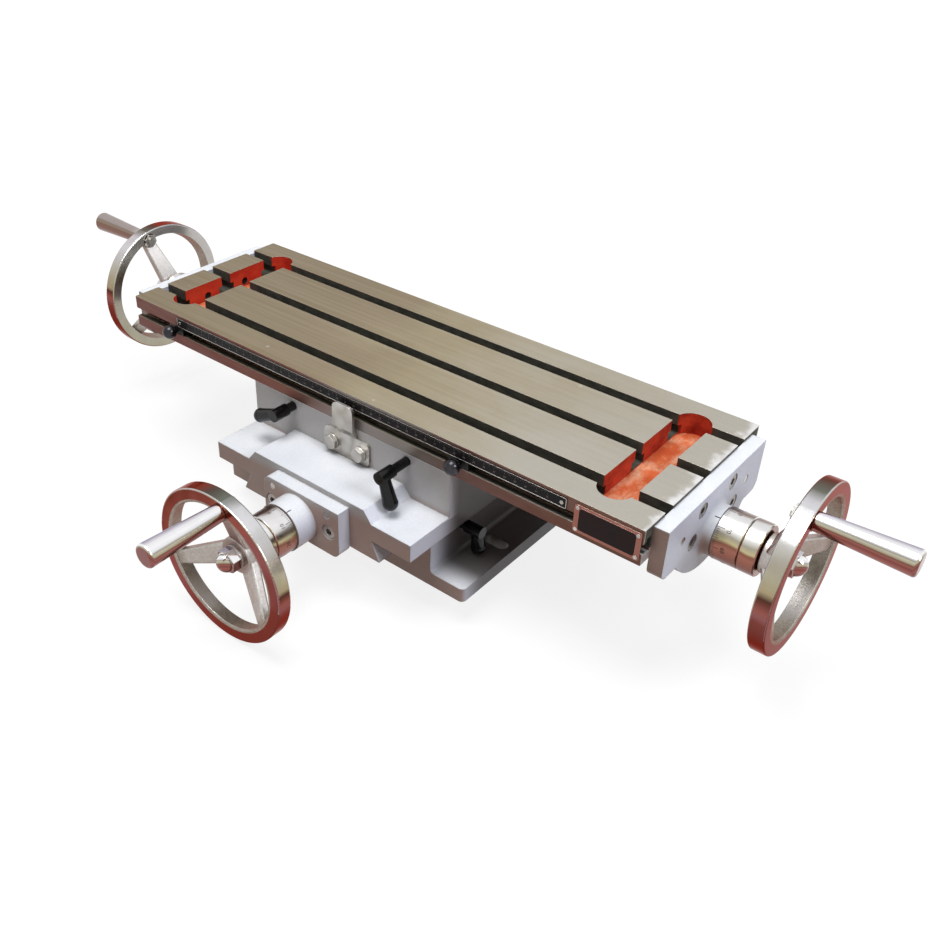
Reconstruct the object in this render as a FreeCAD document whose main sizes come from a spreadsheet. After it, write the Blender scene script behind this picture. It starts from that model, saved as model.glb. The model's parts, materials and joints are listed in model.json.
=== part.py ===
import FreeCAD, Part
import os
import re
import Sketcher

# Cross slide table, millimetres. Z is up and the origin is the centre of the base's bottom face.
# The table travels along X and the saddle along Y. The operator stands at -Y, the front.
# SIZES holds the driving sizes, which go into the spreadsheet. DERIVED names places that follow from them.

SIZES = {
    # Clearances: between sliding faces, round turning shafts, round fixed seats, and between plain faces
    "slide_clearance": 0.1,
    "run_clearance": 0.05,
    "seat_clearance": 0.02,
    "face_gap": 0.3,

    # Base casting
    "base_width": 294,
    "base_length": 220,
    "base_height": 50.5,
    "base_trough_width": 100,
    "base_trough_floor": 18,
    "foot_thick": 14,
    "foot_corner": 5,
    "upstand_width": 221.2,
    "upstand_fillet": 4,
    "slot_spacing_across": 258,
    "slot_spacing_along": 76,
    "slot_length": 24,
    "slot_width": 12,

    # Dovetail way under the saddle, along Y, and the one under the table, along X
    "cross_way_root": 149,
    "cross_way_foot": 167,
    "cross_way_depth": 18.5,
    "long_way_root": 106,
    "long_way_foot": 123,
    "long_way_depth": 18,
    "way_relief": 0.5,
    "gib_thick": 6,
    "gib_inset": 0.4,
    "gib_screw_radius": 3,
    "gib_screw_grip": 12,
    "gib_screw_head": 3.5,
    "gib_screw_head_radius": 5,
    "gib_screw_slot": 1.4,

    # Saddle casting
    "saddle_width": 235,
    "block_height": 61.3,
    "flange_reach": 50.5,
    "flange_thick": 17.4,
    "platform_rise": 11,
    "platform_top_width": 132,
    "platform_foot_width": 150,
    "saddle_trough_width": 44,
    "cross_trough_roof": 62,
    "long_trough_floor": 80,

    # Table
    "table_length": 585,
    "table_width": 190,
    "slab_thick": 32,
    "slot_pitch": 60,
    "slot_neck": 12,
    "slot_neck_depth": 11,
    "slot_head": 20,
    "slot_depth": 20,
    "channel_width": 30.5,
    "channel_length": 155,
    "channel_depth": 20.5,
    "channel_outer_wall": 28,
    "groove_drop": 12.7,
    "groove_neck": 8.7,
    "groove_lip": 5,
    "groove_head": 14,
    "groove_depth": 11,
    "table_trough_depth": 22,

    # Feed screws, nuts and bushes
    "long_axis_drop": 45.2,
    "cross_axis_drop": 4,
    "screw_radius": 9,
    "journal_radius": 7.5,
    "bush_radius": 11,
    "bush_flange_radius": 12.5,
    "bush_flange": 2,
    "cross_screw_tail": 94,
    "nut_length": 40,
    "nut_half_width": 17,
    "long_nut_width": 40,
    "nut_head_radius": 4.25,
    "nut_head_height": 5,
    "nut_socket": 4,
    "nut_crown": 14,
    "nut_foot_width": 68,
    "nut_foot_thick": 6,
    "nut_screw_offset": 26,
    "nut_cap_offset": 13.6,
    "nut_screw_radius": 2.5,
    "nut_screw_grip": 14,

    # End brackets of the table
    "bracket_thick": 12.5,
    "bracket_width": 164,
    "bracket_drop": 3,
    "bracket_shoulder": 50,
    "bracket_corner": 9,
    "lobe_radius": 73,
    "lobe_centre_drop": 5.5,
    "lobe_fillet": 3,
    "boss_radius": 21.5,
    "boss_length": 8.5,
    "boss_flare": 4.5,
    "upper_screw_spread": 51.2,
    "upper_screw_drop": 15,
    "lower_screw_spread": 69.2,
    "lower_screw_drop": 40,
    "dowel_spread": 108,
    "dowel_drop": 27.6,
    "dowel_radius": 3.8,
    "dowel_length": 24,

    # Front bracket of the saddle
    "front_plate_width": 90.3,
    "front_plate_shift": 4.5,
    "front_plate_thick": 13.5,
    "front_plate_rise": 23,
    "front_plate_height": 48.1,
    "front_plate_corner": 8,
    "front_boss_radius": 23,
    "front_boss_length": 20.5,
    "front_screw_shift": 3,
    "front_screw_spread": 69,
    "front_screw_drop": 1.6,
    "front_dowel_spread": 66,
    "front_dowel_rise": 15.4,
    "front_dowel_radius": 3,
    "front_dowel_length": 22,

    # Cap screws of the brackets
    "cap_radius": 6.5,
    "cap_height": 8,
    "cap_sink": 8.5,
    "cap_room": 0.5,
    "cap_socket": 6,
    "cap_socket_depth": 4,
    "bolt_radius": 4,
    "bolt_grip": 16,

    # Dials and collars
    "dial_radius": 22,
    "dial_length": 36.5,
    "front_dial_length": 36,
    "ring_length": 22,
    "sleeve_radius": 12,
    "dial_edge": 0.8,

    # Handwheels
    "wheel_radius": 71.8,
    "wheel_set_out": 20.4,
    "rim_depth": 13.5,
    "rim_inner_front": 59,
    "rim_inner_back": 61.5,
    "rim_edge": 1.2,
    "hub_radius": 17,
    "hub_length": 14.5,
    "hub_edge": 1.5,
    "seat_radius": 6,
    "spoke_start": 12,
    "spoke_end": 61,
    "spoke_start_width": 21,
    "spoke_end_width": 13,
    "spoke_start_low": 3,
    "spoke_start_high": 12.5,
    "spoke_end_low": 24,
    "spoke_end_high": 32.4,
    "spoke_round": 2,
    "spoke_count": 3,
    "right_wheel_turn": 19.5,
    "left_wheel_turn": -14,
    "front_wheel_turn": -9.2,
    "key_width": 4,
    "key_height": 4,
    "key_sink": 2.5,
    "key_length": 12,

    # Washers and domed nuts at the hubs
    "stem_radius": 5,
    "stem_length": 12.5,
    "washer_radius": 11,
    "washer_thick": 2,
    "dome_across": 19,
    "dome_hex_height": 9,
    "dome_radius": 9,
    "dome_height": 7.5,

    # Revolving handles
    "handle_offset": 61.5,
    "handle_length": 72,
    "handle_start_radius": 7.6,
    "handle_end_radius": 10.3,
    "handle_round": 2.5,
    "handle_bore_depth": 62,
    "stud_radius": 5,
    "stud_boss_radius": 8.4,
    "stud_ring_place": 56,
    "stud_ring_width": 2,
    "stud_ring_bite": 0.8,
    "stud_nut_across": 13,
    "stud_nut_height": 6,
    "nut_room": 0.1,
    "stud_tail": 1.5,
    "stud_thread_radius": 4,
    "stud_boss_length": 10,

    # Lock levers
    "lever_shaft_radius": 4.3,
    "lever_hub_radius": 5.8,
    "lever_hub_length": 17,
    "lever_arm_inset": 6.2,
    "lever_arm_length": 25,
    "lever_arm_root": 5,
    "lever_arm_tip": 6.7,
    "lever_knob_radius": 6.9,
    "right_lever_place": 70,
    "right_lever_reach": 36,
    "right_lever_lean": 18,
    "left_lever_place": -67,
    "left_lever_reach": 26,
    "left_lever_lean": -65,
    "table_lever_drop": 7.4,
    "side_lever_place": -66,
    "side_lever_drop": 8.5,
    "side_lever_reach": 22,
    "side_lever_arm": 20,
    "side_lever_lean": 10,

    # Scale, index bracket, name plate
    "scale_top_drop": 3,
    "scale_height": 9.4,
    "scale_thick": 0.8,
    "pin_radius": 1,
    "pin_head_radius": 1.6,
    "pin_head": 0.6,
    "pin_length": 4,
    "scale_pin_margin": 4,
    "plate_pin_margin": 2.7,
    "index_centre": 2,
    "index_foot_width": 54,
    "index_foot_top": 7.9,
    "index_foot_height": 24.6,
    "index_corner": 6,
    "index_thick": 3,
    "index_tab_width": 24,
    "index_tab_drop": 8,
    "index_stand_off": 4.5,
    "index_jog_height": 8,
    "index_bolt_spread": 33,
    "index_bolt_drop": 13.6,
    "index_bolt_across": 13,
    "index_bolt_head": 5,
    "index_bolt_radius": 4,
    "index_bolt_grip": 12,
    "plate_gap": 7.5,
    "plate_margin": 1.5,
    "plate_length": 56.5,
    "plate_height": 25,
    "plate_thick": 1,
    "plate_corner": 2,

    # Stop dogs
    "dog_length": 20,
    "dog_stem_radius": 3,
    "dog_ball_radius": 7,
    "dog_ball_out": 8,
    "dog_clearance": 0.3,
    "right_dog_place": 124,
    "left_dog_past": 4,
}

DERIVED = {
    "base_front": "base_length / 2",
    "upstand_side": "upstand_width / 2",
    "saddle_side": "saddle_width / 2",
    "saddle_under": "base_height + slide_clearance",
    "saddle_back": "table_front",
    "block_front": "table_front",
    "saddle_front": "block_front + flange_reach",
    "flange_top": "saddle_under + flange_thick",
    "platform_top": "flange_top + platform_rise",
    "block_top": "saddle_under + block_height",
    "table_under": "block_top + slide_clearance",
    "table_top": "table_under + slab_thick",
    "table_end": "table_length / 2",
    "table_front": "table_width / 2",
    "table_trough_roof": "table_under - long_way_depth + table_trough_depth",
    "long_axis": "table_top - long_axis_drop",
    "cross_axis": "saddle_under - cross_axis_drop",
    "cross_slope": "(cross_way_foot - cross_way_root) / 2 / cross_way_depth",
    "long_slope": "(long_way_foot - long_way_root) / 2 / long_way_depth",
    "channel_place": "table_end - channel_outer_wall - channel_width / 2",
    "groove_centre": "table_top - groove_drop - groove_neck / 2",
    "plate_face": "table_end + bracket_thick",
    "boss_face": "plate_face + boss_length",
    "front_plate_face": "saddle_front + front_plate_thick",
    "front_boss_face": "front_plate_face + front_boss_length",
    "nut_bore": "screw_radius + run_clearance",
    "long_nut_top": "long_axis + nut_crown",
    "long_nut_seat": "long_nut_top - nut_head_height - face_gap",
    "bush_bore": "journal_radius + run_clearance",
    "bush_seat": "bush_radius + seat_clearance",
    "wheel_bore": "seat_radius + seat_clearance",
    "cap_room_radius": "cap_radius + cap_room",
    "bolt_hole": "bolt_radius + seat_clearance",
    "ring_start": "face_gap",
    "ring_end": "face_gap + ring_length",
    "collar_start": "ring_end + face_gap",
    "rim_front": "wheel_set_out + rim_depth",
    "stud_boss_back": "rim_front - stud_boss_length",
    "gib_screw_hole": "gib_screw_radius + seat_clearance",
    "long_gib_screw": "long_gib_back + long_slope * long_way_depth / 2 + gib_screw_radius + face_gap",
    "cross_gib_screw": "cross_gib_back + cross_slope * cross_way_depth / 2 + gib_screw_radius + face_gap",
    "long_gib_level": "block_top - long_way_depth / 2",
    "cross_gib_level": "base_height - cross_way_depth / 2",
    "lever_hole": "lever_shaft_radius + run_clearance",
    "table_lever_level": "block_top - table_lever_drop",
    "side_lever_level": "base_height - side_lever_drop",
    "index_foot_level": "block_top - index_foot_top",
    "index_bolt_level": "index_foot_level - index_bolt_drop",
    "scale_top": "table_top - scale_top_drop",
    "plate_start": "table_end - plate_margin - plate_length",
    "scale_length": "2 * (plate_start - plate_gap)",
    "left_dog_place": "-(scale_length / 2 + left_dog_past)",
    "long_gib_back": "long_way_root / 2 + 2 * slide_clearance + gib_thick",
    "cross_gib_back": "cross_way_root / 2 + 2 * slide_clearance + gib_thick",
    "long_lever_stop": "long_gib_back + long_slope * (table_lever_drop + lever_shaft_radius) + face_gap",
    "cross_lever_stop": "cross_gib_back + cross_slope * (side_lever_drop + lever_shaft_radius) + face_gap",
}

WORD = re.compile(r"[a-z][a-z_]*")
UP = FreeCAD.Vector(0, 0, 1)
TINY = 1e-3

doc = FreeCAD.newDocument("cross_slide_table")
sheet = doc.addObject("Spreadsheet::Sheet", "sizes")
for row, (alias, size) in enumerate(SIZES.items(), 1):
    sheet.set(f"A{row}", str(size))
    sheet.setAlias(f"A{row}", alias)
doc.recompute()


def formula(text):
    """Write an expression's words out as cells of the spreadsheet."""
    def cell(match):
        word = match.group(0)
        if word in DERIVED:
            return "(" + formula(DERIVED[word]) + ")"
        if word in SIZES:
            return "sizes." + word
        return word
    return WORD.sub(cell, str(text))


def value(text):
    """Value of an expression of sizes."""
    return float(sheet.evalExpression(formula(text)))


def new_body(name):
    body = doc.addObject("PartDesign::Body", name)
    body.Label = name
    body.AllowCompound = True
    return body


def origin_plane(body, role):
    return [part for part in body.Origin.OriginFeatures if part.Role == role + "_Plane"][0]


def rectangle(low_x, low_y, high_x, high_y):
    return [(low_x, low_y), (high_x, low_y), (high_x, high_y), (low_x, high_y)]


def centred(width, low, high):
    """Rectangle that is symmetric about the sketch's vertical axis."""
    return rectangle(f"-({width}) / 2", low, f"({width}) / 2", high)


def hexagon(x, y, across):
    """Regular hexagon by its width across flats, with two corners on the horizontal through its centre."""
    corners = []
    for side, rise in ((2, 0), (1, 1), (-1, 1), (-2, 0), (-1, -1), (1, -1)):
        corners.append((f"({x}) + ({side}) * ({across}) / sqrt(12)", f"({y}) + ({rise}) * ({across}) / 2"))
    return corners


def round_slot(x, y, length, width):
    """Slot with round ends along the sketch's horizontal."""
    radius = f"({width}) / 2"
    straight = f"(({length}) - ({width})) / 2"
    return [
        (f"({x}) - {straight}", f"({y}) - {radius}", radius, 1),
        (f"({x}) + {straight}", f"({y}) - {radius}"),
        (f"({x}) + ({length}) / 2", y, radius, 1),
        (f"({x}) + {straight}", f"({y}) + {radius}", radius, 1),
        (f"({x}) - {straight}", f"({y}) + {radius}"),
        (f"({x}) - ({length}) / 2", y, radius, 1),
    ]


def rounded(low_x, low_y, high_x, high_y, radius):
    """Rectangle with round corners."""
    left, right = f"({low_x}) + ({radius})", f"({high_x}) - ({radius})"
    low, high = f"({low_y}) + ({radius})", f"({high_y}) - ({radius})"
    return [
        (left, low_y, radius, 1),
        (right, low_y),
        (high_x, low, radius, 1),
        (high_x, high),
        (right, high_y, radius, 1),
        (left, high_y),
        (low_x, high, radius, 1),
        (low_x, low),
    ]


def swapped(loop):
    """The same outline with the sketch's two directions exchanged, taken the other way round."""
    corners = []
    for number in range(len(loop), 0, -1):
        corner = loop[number % len(loop)]
        bend = loop[(number + 1) % len(loop)][2:]
        corners.append((corner[1], corner[0]) + bend)
    return corners


def circle(x, y, radius):
    return ("circle", x, y, radius)


def add_circle(sketch, ring):
    x, y, radius = ring[1:]
    centre = FreeCAD.Vector(value(x), value(y), 0)
    index = sketch.addGeometry(Part.Circle(centre, UP, value(radius)), False)
    place_point(sketch, index, 3, x, y)
    held = sketch.addConstraint(Sketcher.Constraint("Radius", index, value(radius)))
    sketch.setExpression(f"Constraints[{held}]", formula(radius))


def place_point(sketch, index, point, x, y):
    """Hold a point of the sketch at a distance from its origin."""
    for kind, text in (("DistanceX", x), ("DistanceY", y)):
        held = sketch.addConstraint(Sketcher.Constraint(kind, -1, 1, index, point, value(text)))
        sketch.setExpression(f"Constraints[{held}]", formula(text))


def arc_between(start, end, radius, side):
    """Arc of less than half a turn, with its centre on the left of the way from start to end if side is 1."""
    chord = end - start
    rise = max(radius ** 2 - (chord.Length / 2) ** 2, 0) ** 0.5
    left = FreeCAD.Vector(-chord.y, chord.x, 0).normalize()
    centre = (start + end) / 2 + left * rise * side
    low, high = (start, end) if side > 0 else (end, start)
    rim = Part.Circle(centre, UP, radius)
    return Part.ArcOfCircle(rim, rim.parameter(low), rim.parameter(high))


def add_loop(sketch, corners):
    """Closed outline. A corner is x and y, and where an arc leads to it also the arc's radius and side."""
    points = [FreeCAD.Vector(value(corner[0]), value(corner[1]), 0) for corner in corners]
    ends = []
    for number, start in enumerate(points):
        following = (number + 1) % len(points)
        bend = corners[following][2:]
        if not bend:
            index = sketch.addGeometry(Part.LineSegment(start, points[following]), False)
            ends.append((index, 1, 2))
            continue
        radius, side = bend
        index = sketch.addGeometry(arc_between(start, points[following], value(radius), side), False)
        ends.append((index, 1, 2) if side > 0 else (index, 2, 1))
        held = sketch.addConstraint(Sketcher.Constraint("Radius", index, value(radius)))
        sketch.setExpression(f"Constraints[{held}]", formula(radius))
    for number, (index, first, last) in enumerate(ends):
        following = ends[(number + 1) % len(ends)]
        sketch.addConstraint(Sketcher.Constraint("Coincident", index, last, following[0], following[1]))
        place_point(sketch, index, first, corners[number][0], corners[number][1])


def draw(body, name, plane, level, loops, turn=None):
    """Sketch on a plane of the body. Its level counts towards +Z on XY, -Y on XZ and +X on YZ."""
    sketch = body.newObject("Sketcher::SketchObject", name + "_outline")
    sketch.AttachmentSupport = (origin_plane(body, plane), [""])
    sketch.MapMode = "FlatFace"
    if turn is not None:
        sketch.AttachmentOffset = FreeCAD.Placement(FreeCAD.Vector(), FreeCAD.Rotation(UP, 1))
        sketch.setExpression("AttachmentOffset.Rotation.Angle", formula(turn))
    sketch.setExpression("AttachmentOffset.Base.z", formula(level))
    for loop in loops:
        if loop[0] == "circle":
            add_circle(sketch, loop)
        else:
            add_loop(sketch, loop)
    return sketch


def pad(body, name, plane, level, loops, length, forward=True, turn=None):
    """Add material from a sketch, along its normal or against it."""
    feature = body.newObject("PartDesign::Pad", name)
    feature.Profile = draw(body, name, plane, level, loops, turn)
    feature.setExpression("Length", formula(length))
    feature.Reversed = not forward
    body.Tip = feature
    return feature


def cut(body, name, plane, level, loops, length, forward=False, turn=None):
    """Take material away from a sketch, against its normal unless told forward."""
    feature = body.newObject("PartDesign::Pocket", name)
    feature.Profile = draw(body, name, plane, level, loops, turn)
    feature.setExpression("Length", formula(length))
    feature.Reversed = forward
    body.Tip = feature
    return feature


def revolve(body, name, loop):
    """Turn a half section about the body's Z axis. Its corners are radius and height."""
    feature = body.newObject("PartDesign::Revolution", name)
    profile = draw(body, name, "XZ", "0", [loop])
    feature.Profile = profile
    feature.ReferenceAxis = (profile, ["V_Axis"])
    feature.Angle = 360
    body.Tip = feature
    return feature


def at(**places):
    """Choice of the edges that lie wholly at the named coordinates."""
    wanted = {axis.upper(): value(text) for axis, text in places.items()}

    def chosen(edge):
        box = edge.BoundBox
        for axis, place in wanted.items():
            low, high = getattr(box, axis + "Min"), getattr(box, axis + "Max")
            if max(abs(low - place), abs(high - place)) > TINY:
                return False
        return True
    return chosen


def along(axis):
    """Choice of the edges that run straight along one axis."""
    def chosen(edge):
        box = edge.BoundBox
        spans = {"X": box.XLength, "Y": box.YLength, "Z": box.ZLength}
        length = spans.pop(axis)
        return length > TINY and max(spans.values()) < TINY
    return chosen


def soften(body, name, radius, choices, kind="PartDesign::Fillet"):
    """Round or chamfer the edges that any of the choices takes."""
    doc.recompute()
    base = body.Tip
    names = []
    for number, edge in enumerate(base.Shape.Edges, 1):
        if any(chosen(edge) for chosen in choices):
            names.append(f"Edge{number}")
    feature = body.newObject(kind, name)
    feature.Base = (base, names)
    feature.setExpression("Radius" if kind.endswith("Fillet") else "Size", formula(radius))
    body.Tip = feature
    return feature


def place(body, x="0", y="0", z="0", rotation=None):
    """Set the body's place by expressions and its turn by a rotation."""
    body.Placement = FreeCAD.Placement(FreeCAD.Vector(), rotation or FreeCAD.Rotation())
    for axis, text in (("x", x), ("y", y), ("z", z)):
        body.setExpression(f"Placement.Base.{axis}", formula(text))


# The three crank sets share one local frame: Z outwards along the feed screw from the boss face, X upwards.
X = FreeCAD.Vector(1, 0, 0)
Y = FreeCAD.Vector(0, 1, 0)
RIGHT = FreeCAD.Rotation(UP, -Y, X, "ZXY")
LEFT = FreeCAD.Rotation(UP, Y, -X, "ZXY")
FRONT = FreeCAD.Rotation(UP, -X, -Y, "ZXY")

CRANKS = {
    "right": {"turn": RIGHT, "base": ("boss_face", "0", "long_axis"), "dial": "dial_length"},
    "left": {"turn": LEFT, "base": ("-boss_face", "0", "long_axis"), "dial": "dial_length"},
    "front": {"turn": FRONT, "base": ("0", "-front_boss_face", "cross_axis"), "dial": "front_dial_length"},
}


def place_on_crank(body, side, out="0", turned_by="0", offset="0"):
    """Place a body on a crank set: out along the screw, turned about it, then offset from its axis."""
    crank = CRANKS[side]
    corner = FreeCAD.Vector(*[value(text) for text in crank["base"]])
    turn = FreeCAD.Placement(FreeCAD.Vector(), FreeCAD.Rotation(UP, value(turned_by)))
    shift = FreeCAD.Placement(FreeCAD.Vector(value(offset), 0, value(out)), FreeCAD.Rotation())
    body.Placement = FreeCAD.Placement(corner, crank["turn"]).multiply(turn).multiply(shift)


def way_groove(root, foot, depth, top, gib_side):
    """Female dovetail section: the male form with clearance, and the gib's room on one side."""
    slope = f"(({foot}) - ({root})) / 2 / ({depth})"
    low = f"({top}) - ({depth}) - way_relief"
    plain = f"({root}) / 2 + slide_clearance"
    gib = f"{plain} + gib_thick + slide_clearance"
    widening = f"{slope} * (({depth}) + way_relief)"
    negative, positive = (plain, gib) if gib_side > 0 else (gib, plain)
    return [
        (f"-({negative})", top),
        (f"-({negative} + {widening})", low),
        (f"{positive} + {widening}", low),
        (positive, top),
    ]


def way_tongue(root, foot, top, depth):
    """Male dovetail section."""
    low = f"({top}) - ({depth})"
    return [
        (f"-({root}) / 2", top),
        (f"-({foot}) / 2", low),
        (f"({foot}) / 2", low),
        (f"({root}) / 2", top),
    ]


def gib_section(root, foot, depth, top, side):
    """Gib strip between the male flank and the female wall."""
    slope = f"(({foot}) - ({root})) / 2 / ({depth})"
    low = f"({depth}) - gib_inset"
    corners = []
    for drop, back in (("gib_inset", 0), (low, 0), (low, 1), ("gib_inset", 1)):
        across = f"({root}) / 2 + slide_clearance + {slope} * ({drop}) + {back} * gib_thick"
        corners.append((f"{side} * ({across})", f"({top}) - ({drop})"))
    return corners


def mirrored_places(spread, level, middle="0"):
    """Two places on one level, half the spread each side of the middle."""
    return [(f"{middle} - ({spread}) / 2", level), (f"{middle} + ({spread}) / 2", level)]


def circles(places, radius):
    return [circle(x, y, radius) for x, y in places]


LONG_WAY = ("long_way_root", "long_way_foot", "long_way_depth")
CROSS_WAY = ("cross_way_root", "cross_way_foot", "cross_way_depth")
UPPER_SCREWS = mirrored_places("upper_screw_spread", "table_top - upper_screw_drop")
LOWER_SCREWS = mirrored_places("lower_screw_spread", "table_top - lower_screw_drop")
BRACKET_SCREWS = UPPER_SCREWS + LOWER_SCREWS
BRACKET_DOWELS = mirrored_places("dowel_spread", "table_top - dowel_drop")
FRONT_SCREWS = mirrored_places("front_screw_spread", "saddle_under - front_screw_drop", "front_screw_shift")
FRONT_DOWELS = mirrored_places("front_dowel_spread", "saddle_under + front_dowel_rise", "front_screw_shift")
INDEX_BOLTS = mirrored_places("index_bolt_spread", "index_bolt_level", "index_centre")
LONG_NUT_SCREWS = [(f"{x} * nut_cap_offset", f"{y} * nut_cap_offset") for x in (-1, 1) for y in (-1, 1)]
CROSS_NUT_SCREWS = [(f"{x} * nut_screw_offset", f"{y} * nut_cap_offset") for x in (-1, 1) for y in (-1, 1)]


def make_base():
    """Casting with a flanged foot, an upstand with the cross way, and a trough for nut, bracket and dial."""
    body = new_body("base")
    pad(body, "foot", "XY", "0", [centred("base_width", "-base_front", "base_front")], "foot_thick")
    soften(body, "foot_corners", "foot_corner", [along("Z")])
    pad(body, "upstand", "XY", "0", [centred("upstand_width", "-base_front", "base_front")], "base_height")
    soften(body, "upstand_fillets", "upstand_fillet",
           [at(x="upstand_side", z="foot_thick"), at(x="-upstand_side", z="foot_thick")])
    cut(body, "cross_way", "XZ", "base_front", [way_groove(*CROSS_WAY, "base_height", 1)], "base_length")
    trough = centred("base_trough_width", "base_trough_floor", "base_height")
    cut(body, "trough", "XZ", "base_front", [trough], "base_length")
    slots = []
    for across in (-1, 1):
        for along_way in (-1, 1):
            x, y = f"{across} * slot_spacing_across / 2", f"{along_way} * slot_spacing_along / 2"
            slots.append(round_slot(x, y, "slot_length", "slot_width"))
    cut(body, "mounting_slots", "XY", "foot_thick", slots, "foot_thick")
    cut(body, "nut_screw_holes", "XY", "base_trough_floor",
        circles(CROSS_NUT_SCREWS, "nut_screw_radius + seat_clearance"), "nut_screw_grip")
    lever_hole = circle("side_lever_place", "side_lever_level", "lever_hole")
    cut(body, "lever_hole", "YZ", "upstand_side", [lever_hole], "upstand_side - cross_gib_back")
    gib_screw = circle("cross_gib_screw", "cross_gib_level", "gib_screw_hole")
    for end, level, forward in (("front", "base_front", False), ("back", "-base_front", True)):
        cut(body, end + "_gib_screw_hole", "XZ", level, [gib_screw], "gib_screw_grip", forward)
    return body


def make_saddle():
    """Casting with a block under the table, a flange to the front, and a dovetail way on both faces."""
    body = new_body("saddle")
    pad(body, "block", "XY", "saddle_under", [centred("saddle_width", "-block_front", "saddle_back")],
        "block_height")
    pad(body, "flange", "XZ", "block_front", [centred("saddle_width", "saddle_under", "flange_top")],
        "flange_reach")
    platform = way_tongue("platform_top_width", "platform_foot_width", "platform_top", "platform_rise")
    pad(body, "platform", "XZ", "block_front", [platform], "flange_reach")
    pad(body, "cross_tongue", "XZ", "saddle_front",
        [way_tongue(*CROSS_WAY[:2], "saddle_under", "cross_way_depth")], "saddle_front + saddle_back", False)
    cut(body, "long_way", "YZ", "saddle_side", [way_groove(*LONG_WAY, "block_top", -1)], "saddle_width")
    cut(body, "long_trough", "YZ", "saddle_side",
        [centred("saddle_trough_width", "long_trough_floor", "block_top")], "saddle_width")
    cut(body, "cross_trough", "XZ", "saddle_front",
        [centred("saddle_trough_width", "saddle_under - cross_way_depth", "cross_trough_roof")],
        "saddle_front + saddle_back")
    cut(body, "bracket_screw_holes", "XZ", "saddle_front", circles(FRONT_SCREWS, "bolt_hole"), "bolt_grip")
    cut(body, "bracket_dowel_holes", "XZ", "saddle_front",
        circles(FRONT_DOWELS, "front_dowel_radius + seat_clearance"),
        "front_dowel_length + 2 * face_gap - front_plate_thick")
    cut(body, "index_bolt_holes", "XZ", "block_front",
        circles(INDEX_BOLTS, "index_bolt_radius + seat_clearance"), "index_bolt_grip")
    levers = [circle(x, "table_lever_level", "lever_hole") for x in ("right_lever_place", "left_lever_place")]
    cut(body, "lever_holes", "XZ", "block_front", levers, "block_front - long_gib_back")
    cut(body, "nut_screw_holes", "XY", "long_trough_floor",
        circles(LONG_NUT_SCREWS, "nut_screw_radius + seat_clearance"), "nut_screw_grip")
    for side, sign in (("right", 1), ("left", -1)):
        cut(body, side + "_gib_screw_hole", "YZ", f"{sign} * saddle_side",
            [circle("-long_gib_screw", "long_gib_level", "gib_screw_hole")], "gib_screw_grip", sign < 0)
    return body


def make_table():
    """Ground table: T-slots, a coolant channel near each end, a dog groove in front and a dovetail below."""
    body = new_body("table")
    outline = centred("table_length", "-table_front", "table_front")
    pad(body, "slab", "XY", "table_under", [outline], "slab_thick")
    pad(body, "long_tongue", "YZ", "-table_end", [way_tongue(*LONG_WAY[:2], "table_under", "long_way_depth")],
        "table_length")
    cut(body, "screw_trough", "YZ", "table_end",
        [centred("saddle_trough_width", "table_under - long_way_depth", "table_trough_roof")], "table_length")
    for number in (-1, 0, 1):
        middle = f"{number} * slot_pitch"
        neck = rectangle(f"{middle} - slot_neck / 2", "table_top - slot_neck_depth",
                         f"{middle} + slot_neck / 2", "table_top")
        head = rectangle(f"{middle} - slot_head / 2", "table_top - slot_depth",
                         f"{middle} + slot_head / 2", "table_top - slot_neck_depth")
        cut(body, f"slot_neck_{number + 2}", "YZ", "table_end", [neck], "table_length")
        cut(body, f"slot_head_{number + 2}", "YZ", "table_end", [head], "table_length")
    channels = []
    for side in (-1, 1):
        lying = round_slot("0", f"{side} * channel_place", "channel_length", "channel_width")
        channels.append(swapped(lying))
    cut(body, "channels", "XY", "table_top", channels, "channel_depth")
    mouth = rectangle("-table_front", "groove_centre - groove_neck / 2",
                      "-table_front + groove_lip", "groove_centre + groove_neck / 2")
    pocket = rectangle("-table_front + groove_lip", "groove_centre - groove_head / 2",
                       "-table_front + groove_depth", "groove_centre + groove_head / 2")
    cut(body, "groove_mouth", "YZ", "table_end", [mouth], "table_length")
    cut(body, "groove_pocket", "YZ", "table_end", [pocket], "table_length")
    for side, sign in (("right", 1), ("left", -1)):
        end = f"{sign} * table_end"
        cut(body, side + "_upper_screw_holes", "YZ", end, circles(UPPER_SCREWS, "bolt_hole"),
            "channel_outer_wall", sign < 0)
        cut(body, side + "_lower_screw_holes", "YZ", end, circles(LOWER_SCREWS, "bolt_hole"), "bolt_grip",
            sign < 0)
        cut(body, side + "_dowel_holes", "YZ", end, circles(BRACKET_DOWELS, "dowel_radius + seat_clearance"),
            "dowel_length + 2 * face_gap - bracket_thick", sign < 0)
    cut(body, "pin_holes", "XZ", "table_front",
        circles(SCALE_PINS + PLATE_PINS, "pin_radius + seat_clearance"), "pin_length")
    return body


def make_gibs():
    """Gib strips on the front of the long way and on the right of the cross way."""
    long_gib = new_body("x_gib")
    pad(long_gib, "strip", "YZ", "-saddle_side", [gib_section(*LONG_WAY, "block_top", -1)], "saddle_width")
    cross_gib = new_body("y_gib")
    section = gib_section(*CROSS_WAY, "base_height", 1)
    pad(cross_gib, "strip", "XZ", "base_front", [section], "base_length", False)


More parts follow.
